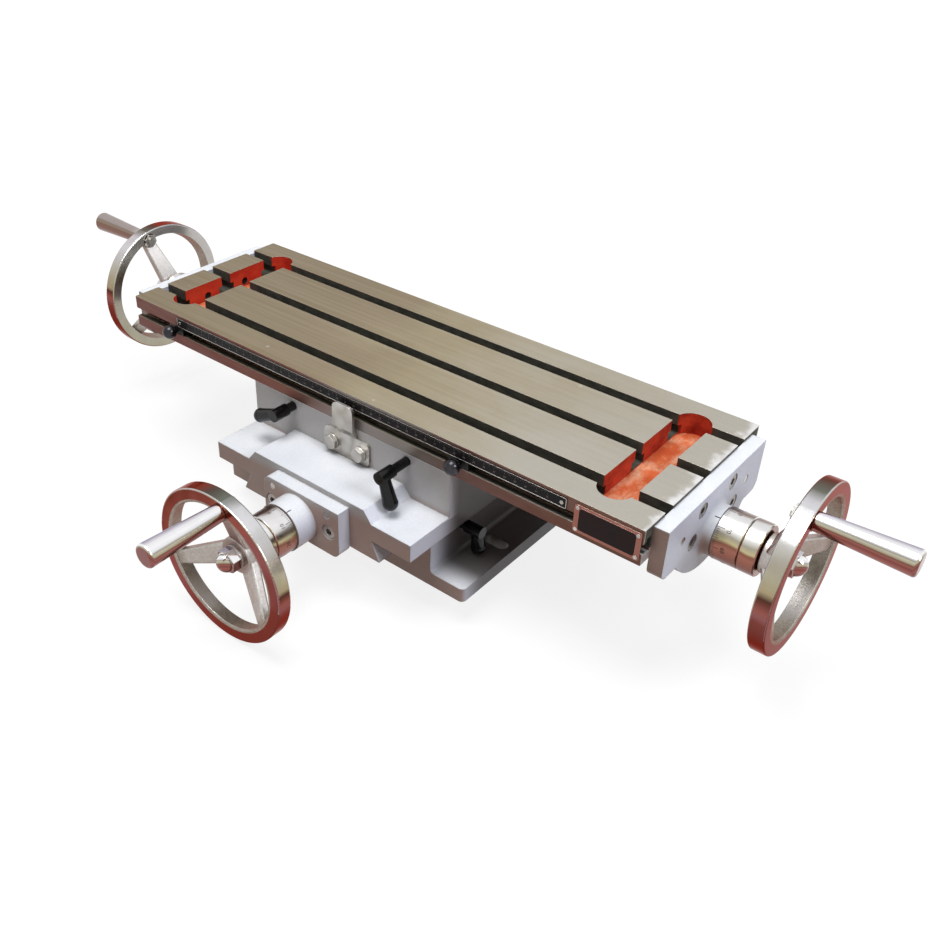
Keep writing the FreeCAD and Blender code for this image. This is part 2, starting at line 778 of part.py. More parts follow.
def make_gib_screws(name, plane, level, x, y):
    """Slotted screws in both ends of a casting, whose heads lap over the gib's ends."""
    body = new_body(name)
    for side, sign in (("first", 1), ("second", -1)):
        face = f"{sign} * ({level})"
        top = f"{sign} * (({level}) + gib_screw_head)"
        shank, head = circle(x, y, "gib_screw_radius"), circle(x, y, "gib_screw_head_radius")
        pad(body, side + "_shank", plane, face, [shank], "gib_screw_grip", sign < 0)
        pad(body, side + "_head", plane, face, [head], "gib_screw_head", sign > 0)
        slot = rectangle(f"{x} - gib_screw_head_radius", f"{y} - gib_screw_slot / 2",
                         f"{x} + gib_screw_head_radius", f"{y} + gib_screw_slot / 2")
        cut(body, side + "_slot", plane, top, [slot], "gib_screw_head / 2", sign < 0)


def make_nuts():
    """Feed nuts: a block on the saddle for the long screw, a footed one on the base for the cross screw."""
    long_nut = new_body("x_nut")
    pad(long_nut, "block", "YZ", "-nut_length / 2",
        [centred("long_nut_width", "long_trough_floor", "long_nut_top")], "nut_length")
    cut(long_nut, "thread", "YZ", "nut_length / 2", [circle("0", "long_axis", "nut_bore")], "nut_length")
    cut(long_nut, "screw_holes", "XY", "long_nut_top",
        circles(LONG_NUT_SCREWS, "nut_screw_radius + seat_clearance"), "long_nut_top - long_trough_floor")
    cut(long_nut, "head_rooms", "XY", "long_nut_top",
        circles(LONG_NUT_SCREWS, "nut_head_radius + face_gap"), "nut_head_height + face_gap")

    cross_nut = new_body("y_nut")
    pad(cross_nut, "foot", "XY", "base_trough_floor",
        [centred("nut_foot_width", "-nut_length / 2", "nut_length / 2")], "nut_foot_thick")
    crown = [
        ("-nut_half_width", "base_trough_floor"),
        ("nut_half_width", "base_trough_floor"),
        ("nut_half_width", "cross_axis"),
        ("nut_crown / 2", "cross_axis + nut_crown"),
        ("-nut_crown / 2", "cross_axis + nut_crown"),
        ("-nut_half_width", "cross_axis"),
    ]
    pad(cross_nut, "crown", "XZ", "nut_length / 2", [crown], "nut_length", False)
    cut(cross_nut, "thread", "XZ", "nut_length / 2", [circle("0", "cross_axis", "nut_bore")], "nut_length")
    cut(cross_nut, "screw_holes", "XY", "base_trough_floor + nut_foot_thick",
        circles(CROSS_NUT_SCREWS, "nut_screw_radius + seat_clearance"), "nut_foot_thick")


def make_nut_screws(name, seat, places, length):
    """Cap screws that hold a feed nut down."""
    body = new_body(name)
    pad(body, "shanks", "XY", seat, circles(places, "nut_screw_radius"), length, False)
    pad(body, "heads", "XY", seat, circles(places, "nut_head_radius"), "nut_head_height")
    sockets = [hexagon(x, y, "nut_socket") for x, y in places]
    cut(body, "sockets", "XY", f"({seat}) + nut_head_height", sockets, "nut_head_height / 2")


def make_end_bracket(name, sign):
    """Bearing plate at one end of the table: a bar with a round lobe below and a flared boss outside."""
    body = new_body(name)
    outward = sign > 0
    end = f"{sign} * table_end"
    face = f"{sign} * plate_face"
    outer = f"{sign} * boss_face"
    top, shoulder = "table_top - bracket_drop", "table_top - bracket_shoulder"
    centre = "table_top - lobe_centre_drop"
    half_chord = f"sqrt(lobe_radius ^ 2 - ({centre} - ({shoulder})) ^ 2)"
    pad(body, "bar", "YZ", end, [centred("bracket_width", shoulder, top)], "bracket_thick", outward)
    soften(body, "bar_corners", "bracket_corner",
           [at(y=f"{side} * bracket_width / 2", z=shoulder) for side in (-1, 1)])
    lobe = [
        (f"-({half_chord})", shoulder),
        ("0", f"{centre} - lobe_radius", "lobe_radius", 1),
        (half_chord, shoulder, "lobe_radius", 1),
    ]
    pad(body, "lobe", "YZ", end, [lobe], "bracket_thick", outward)
    soften(body, "lobe_fillets", "lobe_fillet",
           [at(y=f"{side} * ({half_chord})", z=shoulder) for side in (-1, 1)])
    pad(body, "boss", "YZ", face, [circle("0", "long_axis", "boss_radius")], "boss_length", outward)
    soften(body, "boss_flare", "boss_flare", [boss_foot(face)])
    cut(body, "bush_bore", "YZ", outer, [circle("0", "long_axis", "bush_seat")],
        "bracket_thick + boss_length", not outward)
    cut(body, "head_rooms", "YZ", face, circles(BRACKET_SCREWS, "cap_room_radius"), "cap_sink", not outward)
    cut(body, "screw_holes", "YZ", face, circles(BRACKET_SCREWS, "bolt_hole"), "bracket_thick", not outward)
    cut(body, "dowel_holes", "YZ", face, circles(BRACKET_DOWELS, "dowel_radius + seat_clearance"),
        "bracket_thick", not outward)
    return body


def boss_foot(face):
    """Choice of the round edge where an end bracket's boss meets its plate."""
    place_x, radius = value(face), value("boss_radius")

    def chosen(edge):
        box = edge.BoundBox
        flat = abs(box.XMin - place_x) < TINY and abs(box.XMax - place_x) < TINY
        return flat and abs(box.YLength - 2 * radius) < TINY and abs(box.ZLength - 2 * radius) < TINY
    return chosen


def make_front_bracket():
    """Bearing plate on the saddle's front, with a long boss for the cross screw."""
    body = new_body("front_bracket")
    top, low = "saddle_under + front_plate_rise", "saddle_under + front_plate_rise - front_plate_height"
    left, right = "front_plate_shift - front_plate_width / 2", "front_plate_shift + front_plate_width / 2"
    pad(body, "plate", "XZ", "saddle_front", [rectangle(left, low, right, top)], "front_plate_thick")
    soften(body, "plate_corners", "front_plate_corner",
           [at(x=left, z=low), at(x=right, z=low), at(x=left, z=top)])
    pad(body, "boss", "XZ", "front_plate_face", [circle("0", "cross_axis", "front_boss_radius")],
        "front_boss_length")
    reach = "front_plate_thick + front_boss_length"
    cut(body, "bush_bore", "XZ", "front_boss_face", [circle("0", "cross_axis", "bush_seat")], reach)
    cut(body, "head_rooms", "XZ", "front_plate_face", circles(FRONT_SCREWS, "cap_room_radius"), "cap_sink")
    cut(body, "screw_holes", "XZ", "front_plate_face", circles(FRONT_SCREWS, "bolt_hole"),
        "front_plate_thick")
    cut(body, "dowel_holes", "XZ", "front_plate_face",
        circles(FRONT_DOWELS, "front_dowel_radius + seat_clearance"), "front_plate_thick")
    return body


def add_cap_screws(body, tag, plane, seat, places, forward):
    """Socket head screws. Their heads stand on the seat along the plane's normal, or against it."""
    top = f"({seat}) + cap_height" if forward else f"({seat}) - cap_height"
    sockets = [hexagon(x, y, "cap_socket") for x, y in places]
    pad(body, tag + "_heads", plane, seat, circles(places, "cap_radius"), "cap_height", forward)
    pad(body, tag + "_shanks", plane, seat, circles(places, "bolt_radius"), "bolt_grip", not forward)
    cut(body, tag + "_sockets", plane, top, sockets, "cap_socket_depth", not forward)


def make_bracket_fasteners():
    """Screws and dowel pins of the three brackets."""
    screws = new_body("table_bracket_screws")
    dowels = new_body("table_bracket_dowels")
    for side, sign in (("right", 1), ("left", -1)):
        add_cap_screws(screws, side, "YZ", f"{sign} * (plate_face - cap_sink)", BRACKET_SCREWS, sign > 0)
        pad(dowels, side, "YZ", f"{sign} * (plate_face - face_gap)", circles(BRACKET_DOWELS, "dowel_radius"),
            "dowel_length", sign < 0)
    front_screws = new_body("front_bracket_screws")
    add_cap_screws(front_screws, "front", "XZ", "front_plate_face - cap_sink", FRONT_SCREWS, True)
    front_dowels = new_body("front_bracket_dowels")
    pad(front_dowels, "pins", "XZ", "front_plate_face - face_gap",
        circles(FRONT_DOWELS, "front_dowel_radius"), "front_dowel_length", False)


def gathered(name, parts):
    """One sub-part out of several separate pieces."""
    group = doc.addObject("Part::Compound", name)
    group.Label = name
    group.Links = parts
    return group


def make_bush(name, side, reach):
    """Flanged bush, pressed into a bracket from behind."""
    body = new_body(name)
    revolve(body, "sleeve", [
        ("bush_bore", "0"),
        ("bush_radius", "0"),
        ("bush_radius", f"-({reach})"),
        ("bush_flange_radius", f"-({reach})"),
        ("bush_flange_radius", f"-({reach}) - bush_flange"),
        ("bush_bore", f"-({reach}) - bush_flange"),
    ])
    place_on_crank(body, side)
    return body


def make_feed_screws():
    """Feed screws with journals, wheel seats, key seats and stems for the hub nuts."""
    shoulder = "table_end - bush_flange - face_gap"
    seat, tip = "boss_face + dial_length", "boss_face + dial_length + hub_length"
    half = [
        ("stem_radius", f"{tip} + stem_length"),
        ("stem_radius", tip),
        ("seat_radius", tip),
        ("seat_radius", seat),
        ("journal_radius", seat),
        ("journal_radius", shoulder),
        ("screw_radius", shoulder),
    ]
    long_screw = new_body("x_lead_screw")
    right = [("0", f"{tip} + stem_length")] + half
    left = [(radius, f"-({level})") for radius, level in reversed(right)]
    revolve(long_screw, "stepped_bar", right + left)
    for side, sign in (("right", 1), ("left", -1)):
        cut(long_screw, side + "_key_seat", "XY", f"{sign} * ({seat} + face_gap)", [KEY_SEAT], "key_length",
            sign > 0)
    place(long_screw, z="long_axis", rotation=RIGHT)

    shoulder = "saddle_front - bush_flange - face_gap"
    seat = "front_boss_face + front_dial_length"
    tip = f"{seat} + hub_length"
    cross_screw = new_body("y_lead_screw")
    revolve(cross_screw, "stepped_bar", [
        ("0", f"{tip} + stem_length"),
        ("stem_radius", f"{tip} + stem_length"),
        ("stem_radius", tip),
        ("seat_radius", tip),
        ("seat_radius", seat),
        ("journal_radius", seat),
        ("journal_radius", shoulder),
        ("screw_radius", shoulder),
        ("screw_radius", "-cross_screw_tail"),
        ("0", "-cross_screw_tail"),
    ])
    cut(cross_screw, "key_seat", "XY", f"{seat} + face_gap", [KEY_SEAT], "key_length", True)
    place(cross_screw, z="cross_axis", rotation=FRONT)


def make_key(name, side):
    """Square key between a feed screw and its handwheel."""
    body = new_body(name)
    pad(body, "bar", "XY", CRANKS[side]["dial"] + " + face_gap",
        [rectangle("seat_radius - key_sink", "-key_width / 2", "seat_radius - key_sink + key_height",
                   "key_width / 2")], "key_length")
    place_on_crank(body, side)
    return body


def make_dial(side):
    """Graduated ring, turning on the sleeve of its collar."""
    length = CRANKS[side]["dial"]
    ring = new_body(side + "_dial_ring")
    revolve(ring, "band", [
        ("sleeve_radius + run_clearance", "ring_start"),
        ("dial_radius - dial_edge", "ring_start"),
        ("dial_radius", "ring_start + dial_edge"),
        ("dial_radius", "ring_end - dial_edge"),
        ("dial_radius - dial_edge", "ring_end"),
        ("sleeve_radius + run_clearance", "ring_end"),
    ])
    place_on_crank(ring, side)
    collar = new_body(side + "_dial_collar")
    revolve(collar, "flanged_sleeve", [
        ("journal_radius + seat_clearance", "face_gap"),
        ("sleeve_radius", "face_gap"),
        ("sleeve_radius", "collar_start"),
        ("dial_radius - dial_edge", "collar_start"),
        ("dial_radius", "collar_start + dial_edge"),
        ("dial_radius", f"{length} - dial_edge"),
        ("dial_radius - dial_edge", length),
        ("journal_radius + seat_clearance", length),
    ])
    place_on_crank(collar, side)


def make_handwheel(side):
    """Dished handwheel: a deep rim, three tapered spokes, a set-back hub, and a boss for the handle."""
    body = new_body(side + "_handwheel")
    revolve(body, "rim", [
        ("rim_inner_back", "wheel_set_out"),
        ("wheel_radius - rim_edge", "wheel_set_out"),
        ("wheel_radius", "wheel_set_out + rim_edge", "rim_edge", 1),
        ("wheel_radius", "rim_front - rim_edge"),
        ("wheel_radius - rim_edge", "rim_front", "rim_edge", 1),
        ("rim_inner_front + rim_edge", "rim_front"),
        ("rim_inner_front", "rim_front - rim_edge"),
    ])
    revolve(body, "hub", [
        ("wheel_bore", "0"),
        ("hub_radius - hub_edge", "0"),
        ("hub_radius", "hub_edge"),
        ("hub_radius", "hub_length - hub_edge"),
        ("hub_radius - hub_edge", "hub_length", "hub_edge", 1),
        ("wheel_bore", "hub_length"),
    ])
    spoke = body.newObject("PartDesign::AdditiveLoft", "spoke")
    sections = []
    for end in ("start", "end"):
        section = rounded(f"-spoke_{end}_width / 2", f"spoke_{end}_low", f"spoke_{end}_width / 2",
                          f"spoke_{end}_high", "spoke_round")
        sections.append(draw(body, "spoke_" + end, "YZ", "spoke_" + end, [section]))
    spoke.Profile = sections[0]
    spoke.Sections = [sections[1]]
    body.Tip = spoke
    doc.recompute()
    spokes = body.newObject("PartDesign::PolarPattern", "spokes")
    spokes.Originals = [spoke]
    spokes.Axis = ([part for part in body.Origin.OriginFeatures if part.Role == "Z_Axis"][0], [""])
    spokes.Angle = 360
    spokes.setExpression("Occurrences", formula("spoke_count"))
    body.Tip = spokes
    doc.recompute()
    stud = circle("handle_offset", "0", "stud_boss_radius")
    pad(body, "stud_boss", "XY", "stud_boss_back", [stud], "stud_boss_length")
    stud_hole = circle("handle_offset", "0", "stud_thread_radius + seat_clearance")
    cut(body, "stud_hole", "XY", "rim_front", [stud_hole], "rim_depth")
    nut_room = circle("handle_offset", "0", "stud_nut_across / sqrt(3) + nut_room")
    cut(body, "nut_room", "XY", "stud_boss_back", [nut_room], "rim_depth")
    keyway = rectangle("0", "-key_width / 2 - seat_clearance",
                       "seat_radius - key_sink + key_height + face_gap", "key_width / 2 + seat_clearance")
    turn = side + "_wheel_turn"
    cut(body, "keyway", "XY", "hub_length", [keyway], "hub_length", turn="-" + turn)
    place_on_crank(body, side, CRANKS[side]["dial"], turn)


def make_hub_washer(name, side):
    """Plain washer between the hub and its nut."""
    body = new_body(name)
    outline = [circle("0", "0", "washer_radius"), circle("0", "0", "stem_radius + run_clearance")]
    pad(body, "disc", "XY", "0", outline, "washer_thick")
    place_on_crank(body, side, CRANKS[side]["dial"] + " + hub_length")
    return body


def make_hub_nut(name, side):
    """Domed hexagon nut with a blind thread."""
    body = new_body(name)
    pad(body, "hexagon", "XY", "0", [hexagon("0", "0", "dome_across")], "dome_hex_height")
    crown = "(dome_radius ^ 2 + dome_height ^ 2) / 2 / dome_height"
    revolve(body, "dome", [
        ("0", "dome_hex_height"),
        ("dome_radius", "dome_hex_height"),
        ("0", "dome_hex_height + dome_height", crown, 1),
    ])
    cut(body, "thread", "XY", "0", [circle("0", "0", "stem_radius + seat_clearance")],
        "stem_length - washer_thick + face_gap", True)
    place_on_crank(body, side, CRANKS[side]["dial"] + " + hub_length + washer_thick", side + "_wheel_turn")
    return body


def make_handle(side):
    """Tapered handle that turns on its stud, closed at the outer end."""
    body = new_body(side + "_handle")
    bore = "stud_radius + run_clearance"
    groove = "stud_radius + stud_ring_bite"
    end = "handle_length"
    revolve(body, "grip", [
        (bore, "0"),
        ("handle_start_radius", "0"),
        ("handle_end_radius", f"{end} - handle_round"),
        ("handle_end_radius - handle_round", end, "handle_round", 1),
        ("0", end),
        ("0", "handle_bore_depth"),
        (bore, "handle_bore_depth"),
        (bore, "stud_ring_place + stud_ring_width + face_gap"),
        (groove, "stud_ring_place + stud_ring_width + face_gap"),
        (groove, "stud_ring_place - face_gap"),
        (bore, "stud_ring_place - face_gap"),
    ])
    place_on_crank(body, side, CRANKS[side]["dial"] + " + rim_front + face_gap", side + "_wheel_turn",
                   "handle_offset")


def make_handle_stud(name, side):
    """Shouldered stud through the rim, with a groove for the snap ring that keeps the handle on."""
    body = new_body(name)
    neck = "stud_radius - stud_ring_bite"
    tail = "-(stud_boss_length + stud_nut_height + stud_tail)"
    revolve(body, "pin", [
        ("0", tail),
        ("stud_thread_radius", tail),
        ("stud_thread_radius", "0"),
        ("stud_radius", "0"),
        ("stud_radius", "stud_ring_place"),
        (neck, "stud_ring_place"),
        (neck, "stud_ring_place + stud_ring_width"),
        ("stud_radius", "stud_ring_place + stud_ring_width"),
        ("stud_radius", "handle_bore_depth - face_gap"),
        ("0", "handle_bore_depth - face_gap"),
    ])
    place_on_crank(body, side, CRANKS[side]["dial"] + " + rim_front", side + "_wheel_turn", "handle_offset")
    return body


def make_snap_ring(name, side):
    """Snap ring in the groove of a handle stud."""
    body = new_body(name)
    inner, outer = "stud_radius - stud_ring_bite + seat_clearance", "stud_radius + stud_ring_bite - face_gap"
    low, high = "stud_ring_place + run_clearance", "stud_ring_place + stud_ring_width - run_clearance"
    revolve(body, "band", [(inner, low), (outer, low), (outer, high), (inner, high)])
    place_on_crank(body, side, CRANKS[side]["dial"] + " + rim_front", side + "_wheel_turn", "handle_offset")
    return body


def make_stud_nut(name, side):
    """Hexagon nut on the stud, behind the rim."""
    body = new_body(name)
    pad(body, "hexagon", "XY", "0", [hexagon("0", "0", "stud_nut_across"),
                                     circle("0", "0", "stud_thread_radius + seat_clearance")],
        "stud_nut_height", False)
    place_on_crank(body, side, CRANKS[side]["dial"] + " + stud_boss_back", side + "_wheel_turn",
                   "handle_offset")
    return body


def make_lever(name, tip, reach, arm, axis_out, axis_arm, lean, spot):
    """Lock lever in one piece: threaded shaft, round barrel, and an arm that widens to a rounded end."""
    shaft = doc.addObject("Part::Cylinder", name + "_shaft")
    shaft.setExpression("Radius", formula("lever_shaft_radius"))
    shaft.setExpression("Height", formula(f"({tip}) + ({reach}) - lever_arm_inset"))
    shaft.setExpression("Placement.Base.z", formula(f"-({tip})"))
    hub = doc.addObject("Part::Cylinder", name + "_hub")
    hub.setExpression("Radius", formula("lever_hub_radius"))
    hub.setExpression("Height", formula("lever_hub_length"))
    hub.setExpression("Placement.Base.z", formula(f"({reach}) - lever_hub_length"))
    rod = doc.addObject("Part::Cone", name + "_arm")
    rod.setExpression("Radius1", formula("lever_arm_root"))
    rod.setExpression("Radius2", formula("lever_arm_tip"))
    rod.setExpression("Height", formula(arm))
    rod.Placement = FreeCAD.Placement(FreeCAD.Vector(), FreeCAD.Rotation(Y, 90))
    rod.setExpression("Placement.Base.z", formula(f"({reach}) - lever_arm_inset"))
    ball = doc.addObject("Part::Sphere", name + "_ball")
    ball.setExpression("Radius", formula("lever_knob_radius"))
    ball.setExpression("Placement.Base.x", formula(arm))
    ball.setExpression("Placement.Base.z", formula(f"({reach}) - lever_arm_inset"))
    lever = doc.addObject("Part::MultiFuse", name)
    lever.Label = name
    lever.Shapes = [shaft, hub, rod, ball]
    side = axis_out.cross(axis_arm)
    frame = FreeCAD.Rotation(axis_arm, side, axis_out, "ZXY")
    swing = FreeCAD.Rotation(axis_out, value(lean))
    lever.Placement = FreeCAD.Placement(FreeCAD.Vector(), swing.multiply(frame))
    for axis, text in zip("xyz", spot):
        lever.setExpression(f"Placement.Base.{axis}", formula(text))


def make_levers():
    """Two levers in the saddle's front lock the table, and one in the base's side locks the saddle."""
    wall = "block_front - long_lever_stop"
    for side in ("right", "left"):
        make_lever(f"x_lock_{side}", wall, f"{side}_lever_reach", "lever_arm_length", -Y, -UP,
                   f"{side}_lever_lean", (f"{side}_lever_place", "-block_front", "table_lever_level"))
    make_lever("y_lock", "upstand_side - cross_lever_stop", "side_lever_reach", "side_lever_arm", X, -UP,
               "side_lever_lean", ("upstand_side", "side_lever_place", "side_lever_level"))


def make_front_trim():
    """Scale strip and bare name plate on the table's front edge, with their pins."""
    pin_hole = "pin_radius + seat_clearance"
    scale = new_body("scale_strip")
    strip = centred("scale_length", "scale_top - scale_height", "scale_top")
    pad(scale, "strip", "XZ", "table_front", [strip], "scale_thick")
    cut(scale, "pin_holes", "XZ", "table_front + scale_thick", circles(SCALE_PINS, pin_hole), "scale_thick")
    plate = new_body("name_plate")
    outline = rounded("plate_start", "scale_top - plate_height", "plate_start + plate_length", "scale_top",
                      "plate_corner")
    pad(plate, "plate", "XZ", "table_front", [outline], "plate_thick")
    cut(plate, "pin_holes", "XZ", "table_front + plate_thick", circles(PLATE_PINS, pin_hole), "plate_thick")
    pins = new_body("trim_pins")
    for tag, places, thick in (("scale", SCALE_PINS, "scale_thick"), ("plate", PLATE_PINS, "plate_thick")):
        seat = f"table_front + {thick}"
        pad(pins, tag + "_pin_heads", "XZ", seat, circles(places, "pin_head_radius"), "pin_head")
        pad(pins, tag + "_pin_shanks", "XZ", seat, circles(places, "pin_radius"), "pin_length", False)


def make_index():
    """Index bracket of bent sheet on the saddle's front, and its two bolts."""
    bracket = new_body("index_bracket")
    low = "index_foot_level - index_foot_height"
    foot = rounded("index_centre - index_foot_width / 2", low, "index_centre + index_foot_width / 2",
                   "index_foot_level", "index_corner")
    pad(bracket, "foot", "XZ", "block_front", [foot], "index_thick")
    face = "-block_front"
    bend, top = "index_foot_level + index_jog_height", "table_top - index_tab_drop"
    tab = [
        (face, "index_foot_level - index_foot_height / 2"),
        (face, "index_foot_level"),
        (f"{face} - index_stand_off", bend),
        (f"{face} - index_stand_off", top),
        (f"{face} - index_stand_off - index_thick", top),
        (f"{face} - index_stand_off - index_thick", bend),
        (f"{face} - index_thick", "index_foot_level"),
        (f"{face} - index_thick", "index_foot_level - index_foot_height / 2"),
    ]
    pad(bracket, "tab", "YZ", "index_centre - index_tab_width / 2", [tab], "index_tab_width")
    soften(bracket, "tab_corners", "index_corner",
           [at(x=f"index_centre + {side} * index_tab_width / 2", z=top) for side in (-1, 1)])
    cut(bracket, "bolt_holes", "XZ", "block_front + index_thick",
        circles(INDEX_BOLTS, "index_bolt_radius + seat_clearance"), "index_thick")
    bolts = new_body("index_bolts")
    seat = "block_front + index_thick"
    pad(bolts, "heads", "XZ", seat, [hexagon(x, y, "index_bolt_across") for x, y in INDEX_BOLTS],
        "index_bolt_head")
    pad(bolts, "shanks", "XZ", seat, circles(INDEX_BOLTS, "index_bolt_radius"), "index_bolt_grip", False)


def make_dog(side):
    """Stop dog: a T-shaped slide in the table's front groove, clamped by a ball-headed screw."""
    slide = new_body(side + "_dog")
    middle = side + "_dog_place"
    back, lip = "-table_front + groove_depth - dog_clearance", "-table_front + groove_lip + dog_clearance"
    front = "-table_front + dog_clearance"
    head, neck = "groove_head / 2 - dog_clearance", "groove_neck / 2 - dog_clearance"
    pad(slide, "tee", "YZ", f"{middle} - dog_length / 2", [[
        (back, f"groove_centre - ({head})"),
        (back, f"groove_centre + {head}"),
        (lip, f"groove_centre + {head}"),
        (lip, f"groove_centre + {neck}"),
        (front, f"groove_centre + {neck}"),
        (front, f"groove_centre - ({neck})"),
        (lip, f"groove_centre - ({neck})"),
        (lip, f"groove_centre - ({head})"),
    ]], "dog_length")
    cut(slide, "screw_hole", "XZ", "table_front - dog_clearance",
        [circle(middle, "groove_centre", "dog_stem_radius + seat_clearance")], "groove_depth")
    stem = doc.addObject("Part::Cylinder", side + "_dog_stem")
    stem.setExpression("Radius", formula("dog_stem_radius"))
    stem.setExpression("Height", formula("groove_depth - dog_clearance + dog_ball_out"))
    ball = doc.addObject("Part::Sphere", side + "_dog_ball")
    ball.setExpression("Radius", formula("dog_ball_radius"))
    ball.setExpression("Placement.Base.z", formula("groove_depth - dog_clearance + dog_ball_out"))
    screw = doc.addObject("Part::Fuse", side + "_dog_screw")
    screw.Label = side + "_dog_screw"
    screw.Base = stem
    screw.Tool = ball
    place(screw, middle, back, "groove_centre", FreeCAD.Rotation(X, 90))


def make_pairs():
    """Pieces that are alike at both ends of the table's feed screw share one sub-part."""
    makers = (
        ("x_bushes", lambda name, side: make_bush(name, side, "bracket_thick + boss_length")),
        ("x_wheel_keys", make_key),
        ("x_hub_washers", make_hub_washer),
        ("x_hub_nuts", make_hub_nut),
        ("x_handle_studs", make_handle_stud),
        ("x_snap_rings", make_snap_ring),
        ("x_stud_nuts", make_stud_nut),
    )
    for name, maker in makers:
        gathered(name, [maker(f"{name}_{side}", side) for side in ("right", "left")])


def make_cross_singles():
    """The same pieces on the saddle's feed screw."""
    make_bush("y_bush", "front", "front_plate_thick + front_boss_length")
    make_key("y_wheel_key", "front")
    make_hub_washer("y_hub_washer", "front")
    make_hub_nut("y_hub_nut", "front")
    make_handle_stud("y_handle_stud", "front")
    make_snap_ring("y_snap_ring", "front")
    make_stud_nut("y_stud_nut", "front")


def sub_parts():
    """Every object that no other object is made from, apart from the spreadsheet."""
    used = set()
    for item in doc.Objects:
        if item.TypeId == "Part::Compound":
            used.update(link.Name for link in item.Links)
        if item.TypeId == "Part::MultiFuse":
            used.update(link.Name for link in item.Shapes)
        if item.TypeId == "Part::Fuse":
            used.update((item.Base.Name, item.Tool.Name))
    kinds = ("PartDesign::Body", "Part::Compound", "Part::MultiFuse", "Part::Fuse")
    return [item for item in doc.Objects if item.TypeId in kinds and item.Name not in used]


def check_features():
    """Stop if an object failed, or if a cut took nothing away."""
    for item in doc.Objects:
        for state in item.State:
            if state in ("Invalid", "Error"):
                raise RuntimeError(f"{item.Name} in {item.Label} is {state}")
        if item.TypeId == "PartDesign::Pocket":
            before = item.BaseFeature.Shape.Volume
            if item.Shape.Volume > before - TINY:
                raise RuntimeError(f"{item.Name} cuts nothing")


def write_parts():
    """Write each sub-part's solids to its own file."""
    os.makedirs("parts", exist_ok=True)
    for item in sub_parts():
        shape = item.Shape
        if shape.isNull() or not shape.isValid() or not shape.Solids:
            raise RuntimeError(f"{item.Label} has no valid solid")
        shape.exportStep(os.path.join("parts", item.Label + ".step"))
        box = shape.BoundBox
        print(f"{item.Label}: {len(shape.Solids)} solids, {shape.Volume:.0f} mm3,",
              f"{box.XMin:.1f} {box.XMax:.1f}, {box.YMin:.1f} {box.YMax:.1f}, {box.ZMin:.1f} {box.ZMax:.1f}")


KEY_SEAT = rectangle("seat_radius - key_sink", "-key_width / 2 - seat_clearance", "seat_radius + key_height",
                     "key_width / 2 + seat_clearance")
SCALE_PINS = mirrored_places("scale_length - 2 * scale_pin_margin", "scale_top - scale_height / 2")
PLATE_PINS = [
    (f"plate_start + {x}", f"scale_top - {y}")
    for x in ("plate_pin_margin", "plate_length - plate_pin_margin")
    for y in ("plate_pin_margin", "(plate_height - plate_pin_margin)")
]

make_base()
make_saddle()
make_table()
make_gibs()
make_gib_screws("x_gib_screws", "YZ", "saddle_side", "-long_gib_screw", "long_gib_level")
make_gib_screws("y_gib_screws", "XZ", "base_front", "cross_gib_screw", "cross_gib_level")
make_nuts()
make_nut_screws("x_nut_screws", "long_nut_seat", LONG_NUT_SCREWS,
                "long_nut_seat - long_trough_floor + nut_screw_grip - face_gap")
make_nut_screws("y_nut_screws", "base_trough_floor + nut_foot_thick", CROSS_NUT_SCREWS,
                "nut_foot_thick + nut_screw_grip - face_gap")
make_end_bracket("right_bracket", 1)
make_end_bracket("left_bracket", -1)
make_front_bracket()
make_bracket_fasteners()
make_feed_screws()
make_pairs()
make_cross_singles()
for end in ("right", "left", "front"):
    make_dial(end)
    make_handwheel(end)
    make_handle(end)
make_levers()
make_front_trim()
make_index()
make_dog("right")
make_dog("left")
doc.recompute()
check_features()
write_parts()
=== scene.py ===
# %% [markdown]
# # Cross slide table
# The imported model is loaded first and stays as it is. Everything after that adds finishes and fine pieces,
# so each piece sits where the model says and no fitting is needed.

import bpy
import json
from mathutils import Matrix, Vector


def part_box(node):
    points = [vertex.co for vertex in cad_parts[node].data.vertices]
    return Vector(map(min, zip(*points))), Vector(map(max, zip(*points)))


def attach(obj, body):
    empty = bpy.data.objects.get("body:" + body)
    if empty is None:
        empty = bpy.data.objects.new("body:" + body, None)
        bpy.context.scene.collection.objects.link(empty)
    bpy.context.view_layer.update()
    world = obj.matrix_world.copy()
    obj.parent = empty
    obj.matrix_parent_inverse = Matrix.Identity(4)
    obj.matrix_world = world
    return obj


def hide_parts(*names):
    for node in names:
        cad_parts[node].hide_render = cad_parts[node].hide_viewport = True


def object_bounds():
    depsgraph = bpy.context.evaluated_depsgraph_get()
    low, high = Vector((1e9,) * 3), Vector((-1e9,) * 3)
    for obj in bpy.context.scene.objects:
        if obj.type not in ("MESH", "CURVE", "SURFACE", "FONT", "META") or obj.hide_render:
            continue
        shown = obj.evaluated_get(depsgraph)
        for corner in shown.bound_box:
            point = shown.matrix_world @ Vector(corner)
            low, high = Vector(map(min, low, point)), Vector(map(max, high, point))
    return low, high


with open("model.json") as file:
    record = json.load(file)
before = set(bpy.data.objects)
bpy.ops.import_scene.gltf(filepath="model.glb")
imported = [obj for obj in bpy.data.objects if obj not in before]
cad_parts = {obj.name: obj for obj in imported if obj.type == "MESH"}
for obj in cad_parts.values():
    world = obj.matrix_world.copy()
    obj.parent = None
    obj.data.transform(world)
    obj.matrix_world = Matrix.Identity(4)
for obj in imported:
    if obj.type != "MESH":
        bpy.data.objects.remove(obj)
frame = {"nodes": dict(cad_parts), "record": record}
cad_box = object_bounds()
print("nodes:", len(frame["nodes"]), "box:", [tuple(round(c, 4) for c in corner) for corner in cad_box])

# %% [markdown]
# Blender's own module comes next, with a few words that later cells share. All lengths are metres.
# Colours are written as on a paint chart, from 0 to 255, and turned into the linear numbers that shaders use.

